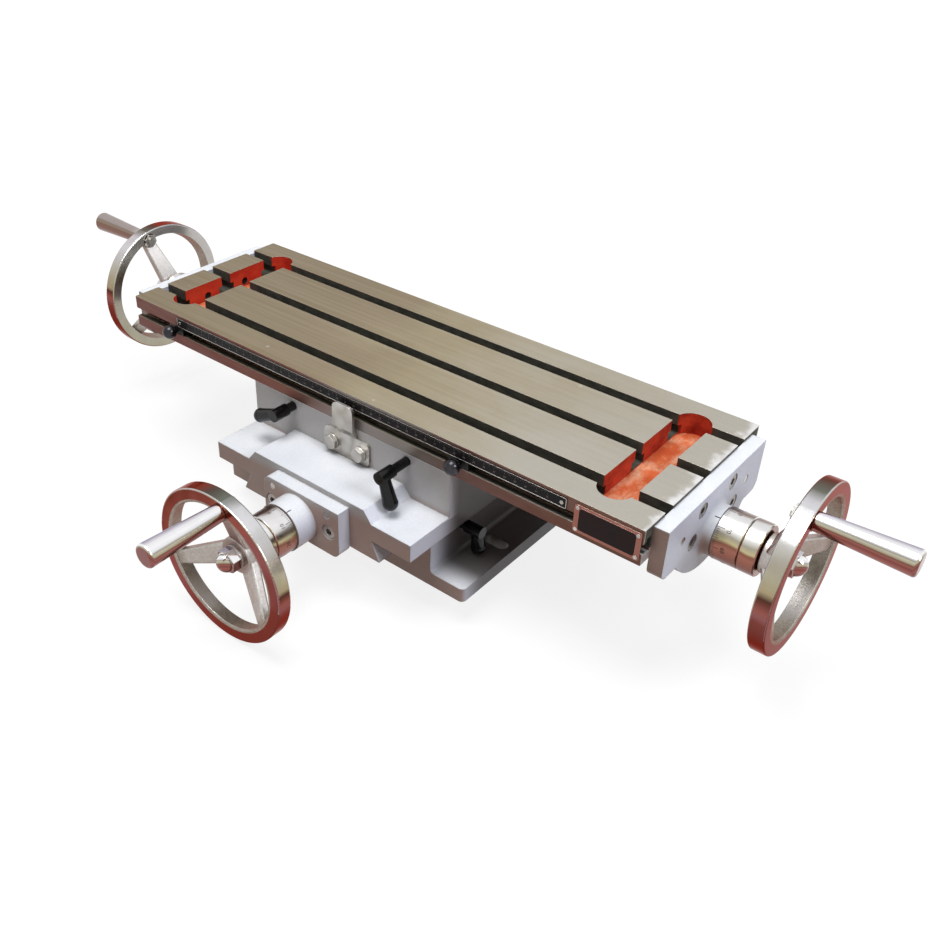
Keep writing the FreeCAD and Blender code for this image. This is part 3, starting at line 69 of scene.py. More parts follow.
# %% Shared words
import json
from math import pi, radians

import bpy
from mathutils import Matrix, Vector

MM = 0.001
TABLE_TOP = 0.144  # height of the ground top
TABLE_HALF = 0.2925  # half the table's length
LONG_AXIS = 0.0988  # height of the table's feed screw
CROSS_AXIS = 0.0466  # height of the saddle's feed screw


def colour(red, green, blue):
    """Linear colour from the 0 to 255 numbers of a paint chart."""
    linear = []
    for part in (red, green, blue):
        share = part / 255
        linear.append(share / 12.92 if share <= 0.04045 else ((share + 0.055) / 1.055) ** 2.4)
    return (*linear, 1)


print("table top at", TABLE_TOP, "m")

# %% [markdown]
# ## Shader building
# A finish is a small network of nodes. Wiring each by hand would hide the idea behind it, so a node is added
# with its inputs given at once, and an input is either a plain value or another node's output.

# %% Node helpers
def connect(tree, socket, given):
    """Link an output to a socket, or set the socket's own value."""
    if isinstance(given, bpy.types.NodeSocket):
        tree.links.new(given, socket)
    else:
        socket.default_value = given


def add(tree, kind, inputs=None, **settings):
    """Add a node with its settings and inputs."""
    node = tree.nodes.new(kind)
    for name, setting in settings.items():
        setattr(node, name, setting)
    for name, given in (inputs or {}).items():
        connect(tree, node.inputs[name], given)
    return node


def calculate(tree, operation, *given):
    """One arithmetic step."""
    return add(tree, "ShaderNodeMath", dict(enumerate(given)), operation=operation).outputs[0]


def vector_step(tree, operation, *given):
    """One vector step."""
    return add(tree, "ShaderNodeVectorMath", dict(enumerate(given)), operation=operation)


def mixed(tree, share, first, second):
    """Blend of two colours."""
    return add(tree, "ShaderNodeMix", {0: share, 6: first, 7: second}, data_type="RGBA").outputs[2]


def ranged(tree, given, low, high, to_low=0.0, to_high=1.0):
    """Bring a value smoothly from one range into another."""
    return add(tree, "ShaderNodeMapRange", {0: given, 1: low, 2: high, 3: to_low, 4: to_high},
               interpolation_type="SMOOTHSTEP").outputs[0]


def product(tree, *given):
    """Several values multiplied."""
    result = given[0]
    for factor in given[1:]:
        result = calculate(tree, "MULTIPLY", result, factor)
    return result


print("node helpers ready")

# %% [markdown]
# ## Shared effects
# Wear, grain and cast skin turn up on many pieces. Each could be wired anew in every material, but as a node
# group it is built once, and every finish sets its own scale and strength on it.

# %% Starting a group
def new_group(name, inputs, outputs):
    """Empty node group with named inputs and outputs."""
    group = bpy.data.node_groups.new(name, "ShaderNodeTree")
    for label, kind, start in inputs:
        socket = group.interface.new_socket(label, in_out="INPUT", socket_type="NodeSocket" + kind)
        if start is not None:
            socket.default_value = start
    for label, kind in outputs:
        group.interface.new_socket(label, in_out="OUTPUT", socket_type="NodeSocket" + kind)
    print("group", name, "with inputs", [label for label, kind, start in inputs])
    return group, group.nodes.new("NodeGroupInput").outputs, group.nodes.new("NodeGroupOutput").inputs


print("ready to build groups")

# %% [markdown]
# ### Uneven patches
# No real surface has one even tone. A stretched noise gives patches, streaks or fine lines, whichever the
# scale and stretch ask for. Image textures could do it too, but noise needs no file and fits any piece.

# %% Uneven patches
def make_unevenness():
    """Value from zero to one that wanders over the surface."""
    group, given, result = new_group(
        "uneven_patches",
        [("Place", "Vector", None), ("Scale", "Float", 8.0), ("Stretch", "Vector", (1, 1, 1))],
        [("Value", "Float")])
    stretched = vector_step(group, "MULTIPLY", given["Place"], given["Stretch"]).outputs[0]
    noise = add(group, "ShaderNodeTexNoise", {"Vector": stretched, "Scale": given["Scale"], "Detail": 6.0,
                                              "Roughness": 0.6}).outputs[0]
    connect(group, result["Value"], ranged(group, noise, 0.3, 0.7))
    return group


UNEVEN = make_unevenness()

# %% [markdown]
# ### Soft edges
# Machined and painted edges catch light because they are slightly round. The bevel node gives a rounded normal
# there, and comparing it with the true normal gives a mask of the edges, which the finishes use to paint
# highlights on them.

# %% Soft edges
def make_soft_edges():
    """Rounded normal, and a mask that is one on the edges."""
    group, given, result = new_group(
        "soft_edges", [("Radius", "Float", 0.001)], [("Normal", "Vector"), ("Edge", "Float")])
    rounded = add(group, "ShaderNodeBevel", {"Radius": given["Radius"]}, samples=4).outputs[0]
    flat = add(group, "ShaderNodeNewGeometry").outputs["True Normal"]
    facing = vector_step(group, "DOT_PRODUCT", rounded, flat).outputs["Value"]
    connect(group, result["Normal"], rounded)
    connect(group, result["Edge"], ranged(group, facing, 0.995, 0.8))
    return group


SOFT_EDGES = make_soft_edges()

# %% [markdown]
# ### Facing the bench
# Polished steel in a workshop shows the room: pale above, brown bench and floor below. That reflection, and the
# bench light on the paint, are painted into the colour. How far a face turns towards the bench is a dot
# product, and a little noise keeps the boundary from being ruled.

# %% Facing the bench
def make_facing():
    """One where a face looks at the bench, zero where it looks away."""
    group, given, result = new_group(
        "facing_bench",
        [("Place", "Vector", None), ("Normal", "Vector", None), ("Toward", "Vector", (0.47, -0.54, -0.70)),
         ("Waver", "Float", 0.05)],
        [("Value", "Float")])
    toward = vector_step(group, "DOT_PRODUCT", given["Normal"], given["Toward"]).outputs["Value"]
    noise = add(group, "ShaderNodeTexNoise", {"Vector": given["Place"], "Scale": 45.0, "Detail": 1.0})
    sway = product(group, calculate(group, "SUBTRACT", noise.outputs[0], 0.5), given["Waver"])
    half = calculate(group, "MULTIPLY_ADD", toward, 0.5, 0.5)
    connect(group, result["Value"], calculate(group, "ADD", half, sway))
    return group


FACING = make_facing()

# %% [markdown]
# ### Cast skin
# Sand leaves small lumps on a casting. Noise and cells added together read as that skin when used as a height.

# %% Cast skin
def make_cast_skin():
    """Height of sand cast lumps."""
    group, given, result = new_group(
        "cast_skin", [("Place", "Vector", None), ("Scale", "Float", 500.0)], [("Height", "Float")])
    lumps = add(group, "ShaderNodeTexNoise", {"Vector": given["Place"], "Scale": given["Scale"], "Detail": 5.0,
                                              "Roughness": 0.65}).outputs[0]
    cells = add(group, "ShaderNodeTexVoronoi", {"Vector": given["Place"], "Scale": given["Scale"]})
    connect(group, result["Height"], calculate(group, "MULTIPLY_ADD", cells.outputs[0], 0.5, lumps))
    return group


CAST_SKIN = make_cast_skin()

# %% [markdown]
# ### Within a block
# The table is one piece of steel with three finishes: ground top, dark slots and red channels. A mask that is
# one inside a block of space parts them exactly where the cuts are, with no seams in the mesh.

# %% Within a block
def make_within_block():
    """One inside a block of space, zero outside it."""
    group, given, result = new_group(
        "within_block",
        [("Place", "Vector", None), ("Middle", "Vector", (0, 0, 0)), ("Half", "Vector", (1, 1, 1))],
        [("Inside", "Float")])
    offset = vector_step(group, "SUBTRACT", given["Place"], given["Middle"]).outputs[0]
    reach = vector_step(group, "SUBTRACT", given["Half"], vector_step(group, "ABSOLUTE", offset).outputs[0])
    parts = add(group, "ShaderNodeSeparateXYZ", {0: reach.outputs[0]}).outputs
    nearest = calculate(group, "MINIMUM", calculate(group, "MINIMUM", parts[0], parts[1]), parts[2])
    connect(group, result["Inside"], calculate(group, "GREATER_THAN", nearest, 0.0))
    return group


WITHIN_BLOCK = make_within_block()

# %% [markdown]
# ## Finishes
# Each finish starts from a principled shader with the piece's own coordinates, and places the shared effects
# with its own values. It is kept under the slot that the model's record gives to its pieces.

# %% Starting a finish
def start_finish(name, **plain):
    """New material. Returns it with its tree, shader and object coordinates."""
    finish = bpy.data.materials.new(name)
    finish.use_nodes = True
    tree = finish.node_tree
    shader = tree.nodes["Principled BSDF"]
    for socket, given in plain.items():
        shader.inputs[socket.replace("_", " ")].default_value = given
    return finish, tree, shader, add(tree, "ShaderNodeTexCoord").outputs["Object"]


def use(tree, group, **inputs):
    """Place a shared effect with its own values."""
    node = tree.nodes.new("ShaderNodeGroup")
    node.node_tree = group
    for name, given in inputs.items():
        connect(tree, node.inputs[name], given)
    return node


def bumped(tree, height, strength, distance, normal):
    """Surface normal from a height, over rounded edges."""
    return add(tree, "ShaderNodeBump", {"Height": height, "Strength": strength, "Distance": distance,
                                        "Normal": normal}).outputs[0]


def ramp(tree, given, stops):
    """Colours along a value, from (place, red, green, blue) stops."""
    node = add(tree, "ShaderNodeValToRGB", {0: given})
    elements = node.color_ramp.elements
    while len(elements) < len(stops):
        elements.new(0.5)
    for element, (place, *rgb) in zip(elements, stops):
        element.position = place
        element.color = colour(*rgb)
    return node.outputs[0]


def hollows(tree, distance, low, high):
    """Mask of hollows, from ambient occlusion."""
    reached = add(tree, "ShaderNodeAmbientOcclusion", {"Distance": distance}, samples=4).outputs["AO"]
    return ranged(tree, reached, low, high, 1.0, 0.0)


FINISHES = {}


def keep(finish, slot=None):
    """Keep a finish for a slot, which is its own name unless another is given."""
    # Blender adds a number to a name that the loaded model already uses.
    slot = slot or finish.name.split(".")[0]
    FINISHES[slot] = finish
    print("finish", slot, "with", len(finish.node_tree.nodes), "nodes")


print("ready for finishes")

# %% [markdown]
# ### Paint of the castings
# Base, saddle and brackets wear light grey enamel. It is faintly uneven, shows a fine orange peel, is paler on
# edges, as wear and as a painted highlight, and has painted shade in corners. One paint whose masks read place
# and direction serves all the castings, so that neighbours match where they meet. First comes the light that
# the sides take from the workshop, painted into the colour: brown from the bench, redder low down and on the
# end brackets, and a bluish light from the right.

# %% Painted workshop light on the paint
def workshop_tones(tree, place, parts, edges, body):
    """Painted bench light and bluish side light on the sides that look at them."""
    bench = use(tree, FACING, Place=place, Normal=edges.outputs["Normal"], Toward=(0.12, -0.62, -0.78),
                Waver=0.06)
    bench = ranged(tree, bench.outputs[0], 0.55, 0.85)
    outer = ranged(tree, calculate(tree, "ABSOLUTE", parts[0]), TABLE_HALF - 8 * MM, TABLE_HALF - 4 * MM)
    low = calculate(tree, "MAXIMUM", ranged(tree, parts[2], 76 * MM, 64 * MM), outer)
    # Painted bounce light from the bench: brown, redder low down and on the end brackets.
    tint = mixed(tree, low, colour(156, 142, 128), colour(163, 112, 82))
    body = mixed(tree, product(tree, bench, calculate(tree, "MULTIPLY_ADD", low, 0.24, 0.55)), body, tint)
    # Painted bluish light on the faces that look to the right.
    right_facing = use(tree, FACING, Place=place, Normal=edges.outputs["Normal"], Toward=(1, 0, 0), Waver=0.05)
    painted_side_light = product(tree, ranged(tree, right_facing.outputs[0], 0.8, 1.0), 0.5)
    return mixed(tree, painted_side_light, body, colour(206, 211, 232))


print("bench tone grows from", round((TABLE_HALF - 8 * MM) / MM, 1), "mm outwards")

# %% [markdown]
# The room under the table lies in shade, which is painted into the colour as a dark brown. It is a mask in the
# shape of that room, which fades out towards the open front and back. As part of the paint it stays on the
# castings when the table slides away.

# %% Painted shade under the table
UNDER_TABLE = (160 * MM, 112 * MM, TABLE_TOP - 32.2 * MM)  # half sizes of the room under the table
SADDLE_FLOOR = 66 * MM  # below it the painted shade reaches further out
SHADE_FULL = 81 * MM  # distance from the middle where it is at its darkest


def grime_under_table(tree, place, parts, patches, body):
    """Painted shade on what stands under the table."""
    shaded = use(tree, WITHIN_BLOCK, Place=place, Half=UNDER_TABLE).outputs[0]
    aside = calculate(tree, "ABSOLUTE", parts[1])
    deep = calculate(tree, "LESS_THAN", parts[2], SADDLE_FLOOR)
    reach = calculate(tree, "MULTIPLY_ADD", deep, 14 * MM, 95 * MM)
    # Painted shade, darkest under the middle of the table.
    painted_shade = product(tree, shaded, ranged(tree, aside, reach, SHADE_FULL), 0.86)
    return mixed(tree, painted_shade, body, mixed(tree, patches, colour(52, 41, 37), colour(68, 57, 51)))


print("grime below", round(UNDER_TABLE[2], 4), "m")

# %% [markdown]
# The paint itself is two pale greys in large patches, paler on edges in rubbed patches, which is wear and a
# painted highlight. Painted shade in the corners comes from ambient occlusion, and a few specks keep it from
# looking new.

# %% Casting paint
def casting_paint():
    """Grey enamel, edges paler from wear and painted highlight, painted light, painted shade below and in
    corners.
    """
    finish, tree, shader, place = start_finish("casting_paint", Metallic=0.0, Coat_Weight=0.12,
                                               Coat_Roughness=0.25, Specular_IOR_Level=0.35)
    edges = use(tree, SOFT_EDGES, Radius=1.2 * MM)
    patches = use(tree, UNEVEN, Place=place, Scale=14.0).outputs[0]
    body = mixed(tree, patches, colour(226, 230, 237), colour(236, 239, 244))
    rubbed = use(tree, UNEVEN, Place=place, Scale=90.0).outputs[0]
    # Paler edges in patches: partly wear, partly a painted highlight.
    wear_and_edge_highlight = product(tree, edges.outputs["Edge"], rubbed, 0.5)
    body = mixed(tree, wear_and_edge_highlight, body, colour(246, 248, 250))
    parts = add(tree, "ShaderNodeSeparateXYZ", {0: place}).outputs
    body = workshop_tones(tree, place, parts, edges, body)
    body = grime_under_table(tree, place, parts, patches, body)
    # Painted shade in the corners, from ambient occlusion.
    corner_shade = product(tree, hollows(tree, 14 * MM, 0.3, 0.8), 0.4)
    body = mixed(tree, corner_shade, body, colour(112, 104, 96))
    specks = use(tree, UNEVEN, Place=place, Scale=520.0).outputs[0]
    body = mixed(tree, product(tree, specks, 0.09), body, colour(128, 120, 112))

    connect(tree, shader.inputs["Base Color"], body)
    connect(tree, shader.inputs["Roughness"], ranged(tree, patches, 0, 1, 0.36, 0.48))
    peel = add(tree, "ShaderNodeTexNoise", {"Vector": place, "Scale": 700.0, "Detail": 3.0}).outputs[0]
    connect(tree, shader.inputs["Normal"], bumped(tree, peel, 0.14, 0.4 * MM, edges.outputs["Normal"]))
    return finish


keep(casting_paint())

# %% [markdown]
# ### Ground steel of the table
# The top is warm and satin, with a painted reflection that makes it darker towards the left end and paler to
# the right. It has faint lines along the table, a few pale oil spots, and turns near white at the right end. A
# ramp along the table gives the broad change, and noise stretched along it gives the lines, as the grinding
# wheel left them.

# %% Colours of the table top
def table_top_colour(tree, place, parts, edges):
    """Ground top and rail side, with painted reflection and painted highlights on the edges."""
    drift = use(tree, UNEVEN, Place=place, Scale=5.0, Stretch=(1, 1.6, 1)).outputs[0]
    along = calculate(tree, "ADD", parts[0], product(tree, calculate(tree, "SUBTRACT", drift, 0.5), 0.12))
    # Painted reflection: darker towards the left end, paler to the right.
    top = ramp(tree, ranged(tree, along, -TABLE_HALF, TABLE_HALF), [
        (0.0, 121, 106, 78), (0.3, 131, 115, 88), (0.5, 147, 134, 105), (0.75, 158, 148, 127),
        (1.0, 172, 168, 158)])
    lines = use(tree, UNEVEN, Place=place, Scale=30.0, Stretch=(0.12, 9, 1)).outputs[0]
    top = mixed(tree, product(tree, lines, 0.14), top, colour(196, 188, 170))
    grain = use(tree, UNEVEN, Place=place, Scale=900.0).outputs[0]
    top = mixed(tree, product(tree, grain, 0.10), top, colour(122, 112, 96))
    spots = add(tree, "ShaderNodeTexVoronoi", {"Vector": place, "Scale": 26.0}).outputs[0]
    top = mixed(tree, product(tree, ranged(tree, spots, 0.07, 0.03), 0.22), top, colour(232, 226, 214))
    # Near white towards the right end, with a ragged border.
    ragged = add(tree, "ShaderNodeTexNoise", {"Vector": place, "Scale": 75.0, "Detail": 6.0}).outputs[0]
    reached = calculate(tree, "MULTIPLY_ADD", ragged, 30 * MM, parts[0])
    right_end_white = ranged(tree, reached, TABLE_HALF + 5 * MM, TABLE_HALF + 16 * MM)
    top = mixed(tree, product(tree, right_end_white, 0.75), top, colour(236, 236, 238))
    # Edges lightened as a painted highlight.
    return mixed(tree, product(tree, edges.outputs["Edge"], 0.7), top, colour(228, 220, 206))


print("table top colours along", 2 * TABLE_HALF, "m")

# %% [markdown]
# The table's front edge looks at the bench and the floor, and that reflection is painted into its colour: red
# brown at both ends. In the middle it sees the pale saddle and turns grey. A second ramp along the table is
# enough for that.

# %% Colours of the table's front rail
def rail_colour(tree, place, parts):
    """Painted reflection of the bench on the rail: red brown at both ends and grey brown between."""
    patches = use(tree, UNEVEN, Place=place, Scale=26.0, Stretch=(0.4, 1, 2)).outputs[0]
    rail_reflection = ramp(tree, ranged(tree, parts[0], -TABLE_HALF, TABLE_HALF), [
        (0.0, 108, 46, 36), (0.34, 118, 70, 56), (0.5, 140, 132, 128), (0.68, 140, 134, 126),
        (0.8, 102, 66, 57), (1.0, 102, 62, 46)])
    return mixed(tree, product(tree, patches, 0.25), rail_reflection, colour(158, 134, 124))


print("front rail colours along", 2 * TABLE_HALF, "m")

# %% [markdown]
# The slots are black with old oil, and the channel across each end is brushed red, with bare streaks on its
# floor. Both are masks in the shape of the cuts, laid over the ground steel. The second channel is the mirror
# of the first, so its mask reads mirrored coordinates.

# %% Colours of the channels
CHANNEL_FLOOR = TABLE_TOP - 20.2 * MM


def channel_colour(tree, place, parts):
    """Red paint on the channels' walls, thinner and streaked on their floors."""
    blotches = use(tree, UNEVEN, Place=place, Scale=70.0, Stretch=(1, 0.6, 1)).outputs[0]
    strokes = use(tree, UNEVEN, Place=place, Scale=260.0, Stretch=(1, 0.3, 1)).outputs[0]
    left_end = calculate(tree, "LESS_THAN", parts[0], 0.0)
    wall = mixed(tree, left_end, colour(142, 32, 18), colour(180, 40, 24))
    wall = mixed(tree, blotches, wall, colour(200, 66, 38))
    bottom = mixed(tree, blotches, colour(200, 88, 46), colour(220, 122, 74))
    streaks = product(tree, strokes, ranged(tree, blotches, 0.35, 0.95), 0.75)
    bottom = mixed(tree, streaks, bottom, colour(236, 192, 162))
    return mixed(tree, calculate(tree, "LESS_THAN", parts[2], CHANNEL_FLOOR), wall, bottom)


print("channel floor at", round(CHANNEL_FLOOR, 4), "m")

# %% [markdown]
# Now the parts come together in one material: top and rail by the way a face looks, then slots and channels
# by their masks. Oil and paint are not metal, so the same masks also take the metallic sheen away.

# %% Ground steel
SLOTS_MIDDLE = (0, 0, TABLE_TOP - 11.2 * MM)
SLOTS_HALF = (0.3, 93.5 * MM, 10.6 * MM)
CHANNEL_MIDDLE = (249.25 * MM, 0, TABLE_TOP - 0.8 * MM)
CHANNEL_HALF = (15.6 * MM, 78 * MM, 20.6 * MM)


def ground_steel():
    """The whole table: ground top, rail, oily slots and red channels."""
    finish, tree, shader, place = start_finish("ground_steel", Specular_IOR_Level=0.3)
    parts = add(tree, "ShaderNodeSeparateXYZ", {0: place}).outputs
    edges = use(tree, SOFT_EDGES, Radius=0.6 * MM)
    bench = use(tree, FACING, Place=place, Normal=edges.outputs["Normal"], Toward=(0.1, -0.72, -0.69),
                Waver=0.04)
    # The rail's painted reflection goes where a face looks at the bench.
    steel = mixed(tree, ranged(tree, bench.outputs[0], 0.45, 0.8), table_top_colour(tree, place, parts, edges),
                  rail_colour(tree, place, parts))

    slots = use(tree, WITHIN_BLOCK, Place=place, Middle=SLOTS_MIDDLE, Half=SLOTS_HALF).outputs[0]
    oil = use(tree, UNEVEN, Place=place, Scale=150.0, Stretch=(0.5, 1, 1)).outputs[0]
    steel = mixed(tree, slots, steel, mixed(tree, oil, colour(58, 58, 52), colour(86, 84, 74)))
    mirrored = vector_step(tree, "ABSOLUTE", place).outputs[0]
    channel = use(tree, WITHIN_BLOCK, Place=mirrored, Middle=CHANNEL_MIDDLE, Half=CHANNEL_HALF)
    channel = product(tree, channel.outputs[0], calculate(tree, "LESS_THAN", parts[2], TABLE_TOP - 0.4 * MM))
    steel = mixed(tree, channel, steel, channel_colour(tree, place, parts))
    connect(tree, shader.inputs["Base Color"], steel)

    inside = calculate(tree, "MAXIMUM", slots, channel)
    connect(tree, shader.inputs["Metallic"], product(tree, calculate(tree, "SUBTRACT", 1.0, inside), 0.55))
    fine = use(tree, UNEVEN, Place=place, Scale=320.0, Stretch=(0.06, 4, 1)).outputs[0]
    gloss = ranged(tree, fine, 0, 1, 0.36, 0.48)
    connect(tree, shader.inputs["Roughness"], calculate(tree, "MULTIPLY_ADD", inside, 0.3, gloss))
    rough = use(tree, CAST_SKIN, Place=place, Scale=240.0).outputs[0]
    height = add(tree, "ShaderNodeMix", {0: channel, 2: fine, 3: product(tree, rough, 9.0)}).outputs[0]
    connect(tree, shader.inputs["Normal"], bumped(tree, height, 0.1, 0.3 * MM, edges.outputs["Normal"]))
    return finish


keep(ground_steel())

# %% [markdown]
# ### Turned and polished steel
# Bright steel has hardly a colour of its own: it shows the workshop. A real room round the table could be
# modelled for it, but a colour ramp along the facing value stands for that room, as a painted reflection that
# stays with the piece in every view. On a handle that is a violet line and white above, a thin dark line at the
# side, olive, then brown.

# %% Rooms painted as reflections in polished steel
POLISHED = [
    (0.0, 206, 200, 206), (0.07, 122, 104, 146), (0.11, 196, 190, 200), (0.18, 236, 236, 240),
    (0.33, 250, 250, 252), (0.43, 236, 236, 238), (0.48, 198, 196, 192), (0.505, 140, 136, 126),
    (0.54, 196, 190, 168), (0.62, 170, 160, 136), (0.66, 112, 72, 60), (0.71, 150, 92, 82),
    (0.77, 122, 66, 62), (0.86, 148, 88, 80), (1.0, 100, 50, 46)]
TURNED = [
    (0.0, 186, 180, 176), (0.09, 132, 108, 98), (0.15, 222, 220, 220), (0.35, 240, 240, 240),
    (0.46, 222, 220, 216), (0.53, 168, 162, 144), (0.62, 192, 180, 138), (0.67, 130, 84, 68),
    (0.74, 152, 98, 84), (1.0, 98, 54, 46)]
RIM = [
    (0.0, 138, 52, 44), (0.09, 148, 72, 60), (0.13, 84, 84, 78), (0.19, 112, 118, 108),
    (0.25, 214, 214, 218), (0.34, 220, 220, 222), (0.45, 196, 195, 193), (0.60, 176, 170, 146),
    (0.675, 164, 150, 118), (0.70, 74, 48, 40), (0.72, 112, 62, 54), (0.745, 146, 86, 78), (0.77, 140, 88, 88),
    (0.80, 120, 62, 56), (0.86, 108, 54, 50), (1.0, 98, 46, 42)]
ZINC = [
    (0.0, 238, 238, 236), (0.4, 220, 219, 214), (0.55, 182, 180, 172), (0.64, 150, 146, 138),
    (0.7, 206, 204, 198), (0.78, 162, 156, 148), (0.84, 196, 192, 186), (1.0, 104, 92, 84)]
SOOTY = [
    (0.0, 206, 204, 204), (0.4, 190, 188, 188), (0.6, 156, 152, 148), (0.8, 148, 138, 132), (1.0, 96, 84, 80)]
COPPERY = [(0.0, 196, 170, 156), (0.5, 170, 130, 116), (0.8, 142, 86, 74), (1.0, 110, 62, 52)]
print("tones in each room:", [len(room) for room in (POLISHED, TURNED, RIM, ZINC, SOOTY, COPPERY)])

# %% [markdown]
# One recipe with these rooms serves handles, dials, nuts, pins and screws. The lathe leaves fine lines round a
# shaft, which are noise stretched across it and used as a height. Sockets and corners get painted shade, and
# the edges a painted highlight. The far handle is painted darker, as if it stood in the darker end of the room.

# %% Bright steel
SOCKET_DEPTH = 2.5 * MM


def bright_steel(name, room, roughness, lines=0.05, bevel=0.35, waver=0.04, far=0.0):
    """Bright steel with a painted reflection of a room. The bevel is in millimetres."""
    finish, tree, shader, place = start_finish(name, Metallic=1.0)
    edges = use(tree, SOFT_EDGES, Radius=bevel * MM)
    facing = use(tree, FACING, Place=place, Normal=edges.outputs["Normal"], Waver=waver).outputs[0]
    patches = use(tree, UNEVEN, Place=place, Scale=60.0).outputs[0]
    body = mixed(tree, product(tree, patches, 0.12), ramp(tree, facing, room), colour(120, 108, 100))
    along = add(tree, "ShaderNodeSeparateXYZ", {0: place}).outputs[0]
    # Painted shade on the far handle, as in the dark end of the room.
    body = mixed(tree, product(tree, ranged(tree, along, -0.36, -0.40), far), body, colour(122, 98, 86))
    # Painted highlight on the edges.
    body = mixed(tree, product(tree, edges.outputs["Edge"], 0.3), body, colour(250, 248, 248))
    # Painted shade in sockets and corners.
    body = mixed(tree, product(tree, hollows(tree, SOCKET_DEPTH, 0.1, 0.5), 0.85), body, colour(26, 24, 24))
    connect(tree, shader.inputs["Base Color"], body)
    connect(tree, shader.inputs["Roughness"], ranged(tree, patches, 0, 1, roughness, roughness + 0.08))
    turned = use(tree, UNEVEN, Place=place, Scale=400.0, Stretch=(4, 0.3, 0.3)).outputs[0]
    connect(tree, shader.inputs["Normal"], bumped(tree, turned, lines, 0.1 * MM, edges.outputs["Normal"]))
    return finish


keep(bright_steel("screw_steel", ZINC, 0.25))
keep(bright_steel("black_screws", SOOTY, 0.3))
keep(bright_steel("dowel_steel", ZINC, 0.2))
keep(bright_steel("dial_steel", TURNED, 0.17, lines=0.08, waver=0.16))
keep(bright_steel("polished_steel", POLISHED, 0.12, lines=0.02, bevel=1.1, waver=0.025, far=0.75))
keep(bright_steel("bright_zinc", ZINC, 0.28, lines=0.03, bevel=0.5, waver=0.3))
keep(bright_steel("bare_plate", COPPERY, 0.35))

# %% [markdown]
# ### Handwheels
# Spokes, hub and the inside of the rim keep the silvery skin of the casting: pitted, with a painted highlight
# where it looks up, darker at the hub, and painted shade in the hollows and where it looks down. The distance
# from the shaft tells them apart, so no seams are needed between them.

# %% Cast skin of the wheels
def wheel_skin(tree, place, distance, facing):
    """Silvery cast skin of spokes, hub and rim, with painted highlight and shade."""
    grit = use(tree, UNEVEN, Place=place, Scale=1100.0).outputs[0]
    cloud = use(tree, UNEVEN, Place=place, Scale=40.0).outputs[0]
    spoke = mixed(tree, cloud, colour(176, 170, 160), colour(202, 198, 194))
    ring = mixed(tree, cloud, colour(112, 102, 80), colour(158, 150, 134))
    skin = mixed(tree, ranged(tree, distance, 50 * MM, 58 * MM), spoke, ring)
    skin = mixed(tree, product(tree, grit, 0.5), skin, colour(206, 204, 200))
    pits = use(tree, UNEVEN, Place=place, Scale=430.0).outputs[0]
    skin = mixed(tree, product(tree, pits, 0.3), skin, colour(110, 100, 92))
    # Painted highlight where the skin looks up.
    painted_highlight = product(tree, ranged(tree, facing, 0.12, 0.24), ranged(tree, facing, 0.46, 0.32), 0.55)
    skin = mixed(tree, painted_highlight, skin, colour(230, 228, 226))
    hub = product(tree, ranged(tree, distance, 19 * MM, 13 * MM), 0.55)
    skin = mixed(tree, hub, skin, colour(116, 88, 78))
    # Painted brown shade where it looks down towards the bench.
    low = product(tree, ranged(tree, facing, 0.6, 0.9), 0.5)
    skin = mixed(tree, low, skin, mixed(tree, grit, colour(112, 84, 72), colour(160, 142, 132)))
    # Painted shade in the hollows.
    return mixed(tree, product(tree, hollows(tree, 8 * MM, 0.3, 0.8), 0.6), skin, colour(84, 74, 60))


print("wheel skin ready")

# %% [markdown]
# The rim is turned bright outside and on its faces, and shows the room as a painted reflection. Its flat faces
# would show one tone, so their normals lean outwards a little, as if the rim were domed. Each wheel sees
# another part of the room, and its shaft lies elsewhere, so each has its own copy.

# %% Handwheel
RIM_INSIDE = 62 * MM
BENCH_FROM = {"front": (0.47, -0.54, -0.70), "right": (0.57, -0.53, -0.63), "left": (0.04, -0.60, -0.80)}


def handwheel(side):
    """Turned rim and cast spokes, round the shaft of the wheel on that side."""
    finish, tree, shader, place = start_finish(side + "_handwheel", Metallic=1.0,
                                               Specular_Tint=(0.7, 0.42, 0.4, 1))
    centre, across = ((0, 0, CROSS_AXIS), (1, 0, 1)) if side == "front" else ((0, 0, LONG_AXIS), (0, 1, 1))
    offset = vector_step(tree, "SUBTRACT", place, centre).outputs[0]
    away = vector_step(tree, "MULTIPLY", offset, across).outputs[0]
    distance = vector_step(tree, "LENGTH", away).outputs["Value"]
    rim = ranged(tree, distance, RIM_INSIDE - 0.4 * MM, RIM_INSIDE + 0.2 * MM)
    edges = use(tree, SOFT_EDGES, Radius=0.8 * MM)
    domed = vector_step(tree, "MULTIPLY_ADD", away, (1.6, 1.6, 1.6), edges.outputs["Normal"]).outputs[0]
    domed = vector_step(tree, "NORMALIZE", domed).outputs[0]
    facing = use(tree, FACING, Place=place, Normal=domed, Toward=BENCH_FROM[side], Waver=0.04).outputs[0]
    patches = use(tree, UNEVEN, Place=place, Scale=34.0).outputs[0]
    # Painted reflection of the room on the rim.
    bright = mixed(tree, product(tree, patches, 0.22), ramp(tree, facing, RIM), colour(96, 60, 52))
    body = mixed(tree, rim, wheel_skin(tree, place, distance, facing), bright)
    # Painted highlight on the edges.
    body = mixed(tree, product(tree, edges.outputs["Edge"], 0.45), body, colour(240, 228, 234))
    connect(tree, shader.inputs["Base Color"], body)
    connect(tree, shader.inputs["Roughness"], ranged(tree, rim, 0, 1, 0.4, 0.18))
    lumps = use(tree, CAST_SKIN, Place=place, Scale=700.0).outputs[0]
    height = product(tree, lumps, calculate(tree, "SUBTRACT", 1.0, rim))
    connect(tree, shader.inputs["Normal"], bumped(tree, height, 0.22, 0.4 * MM, edges.outputs["Normal"]))
    return finish


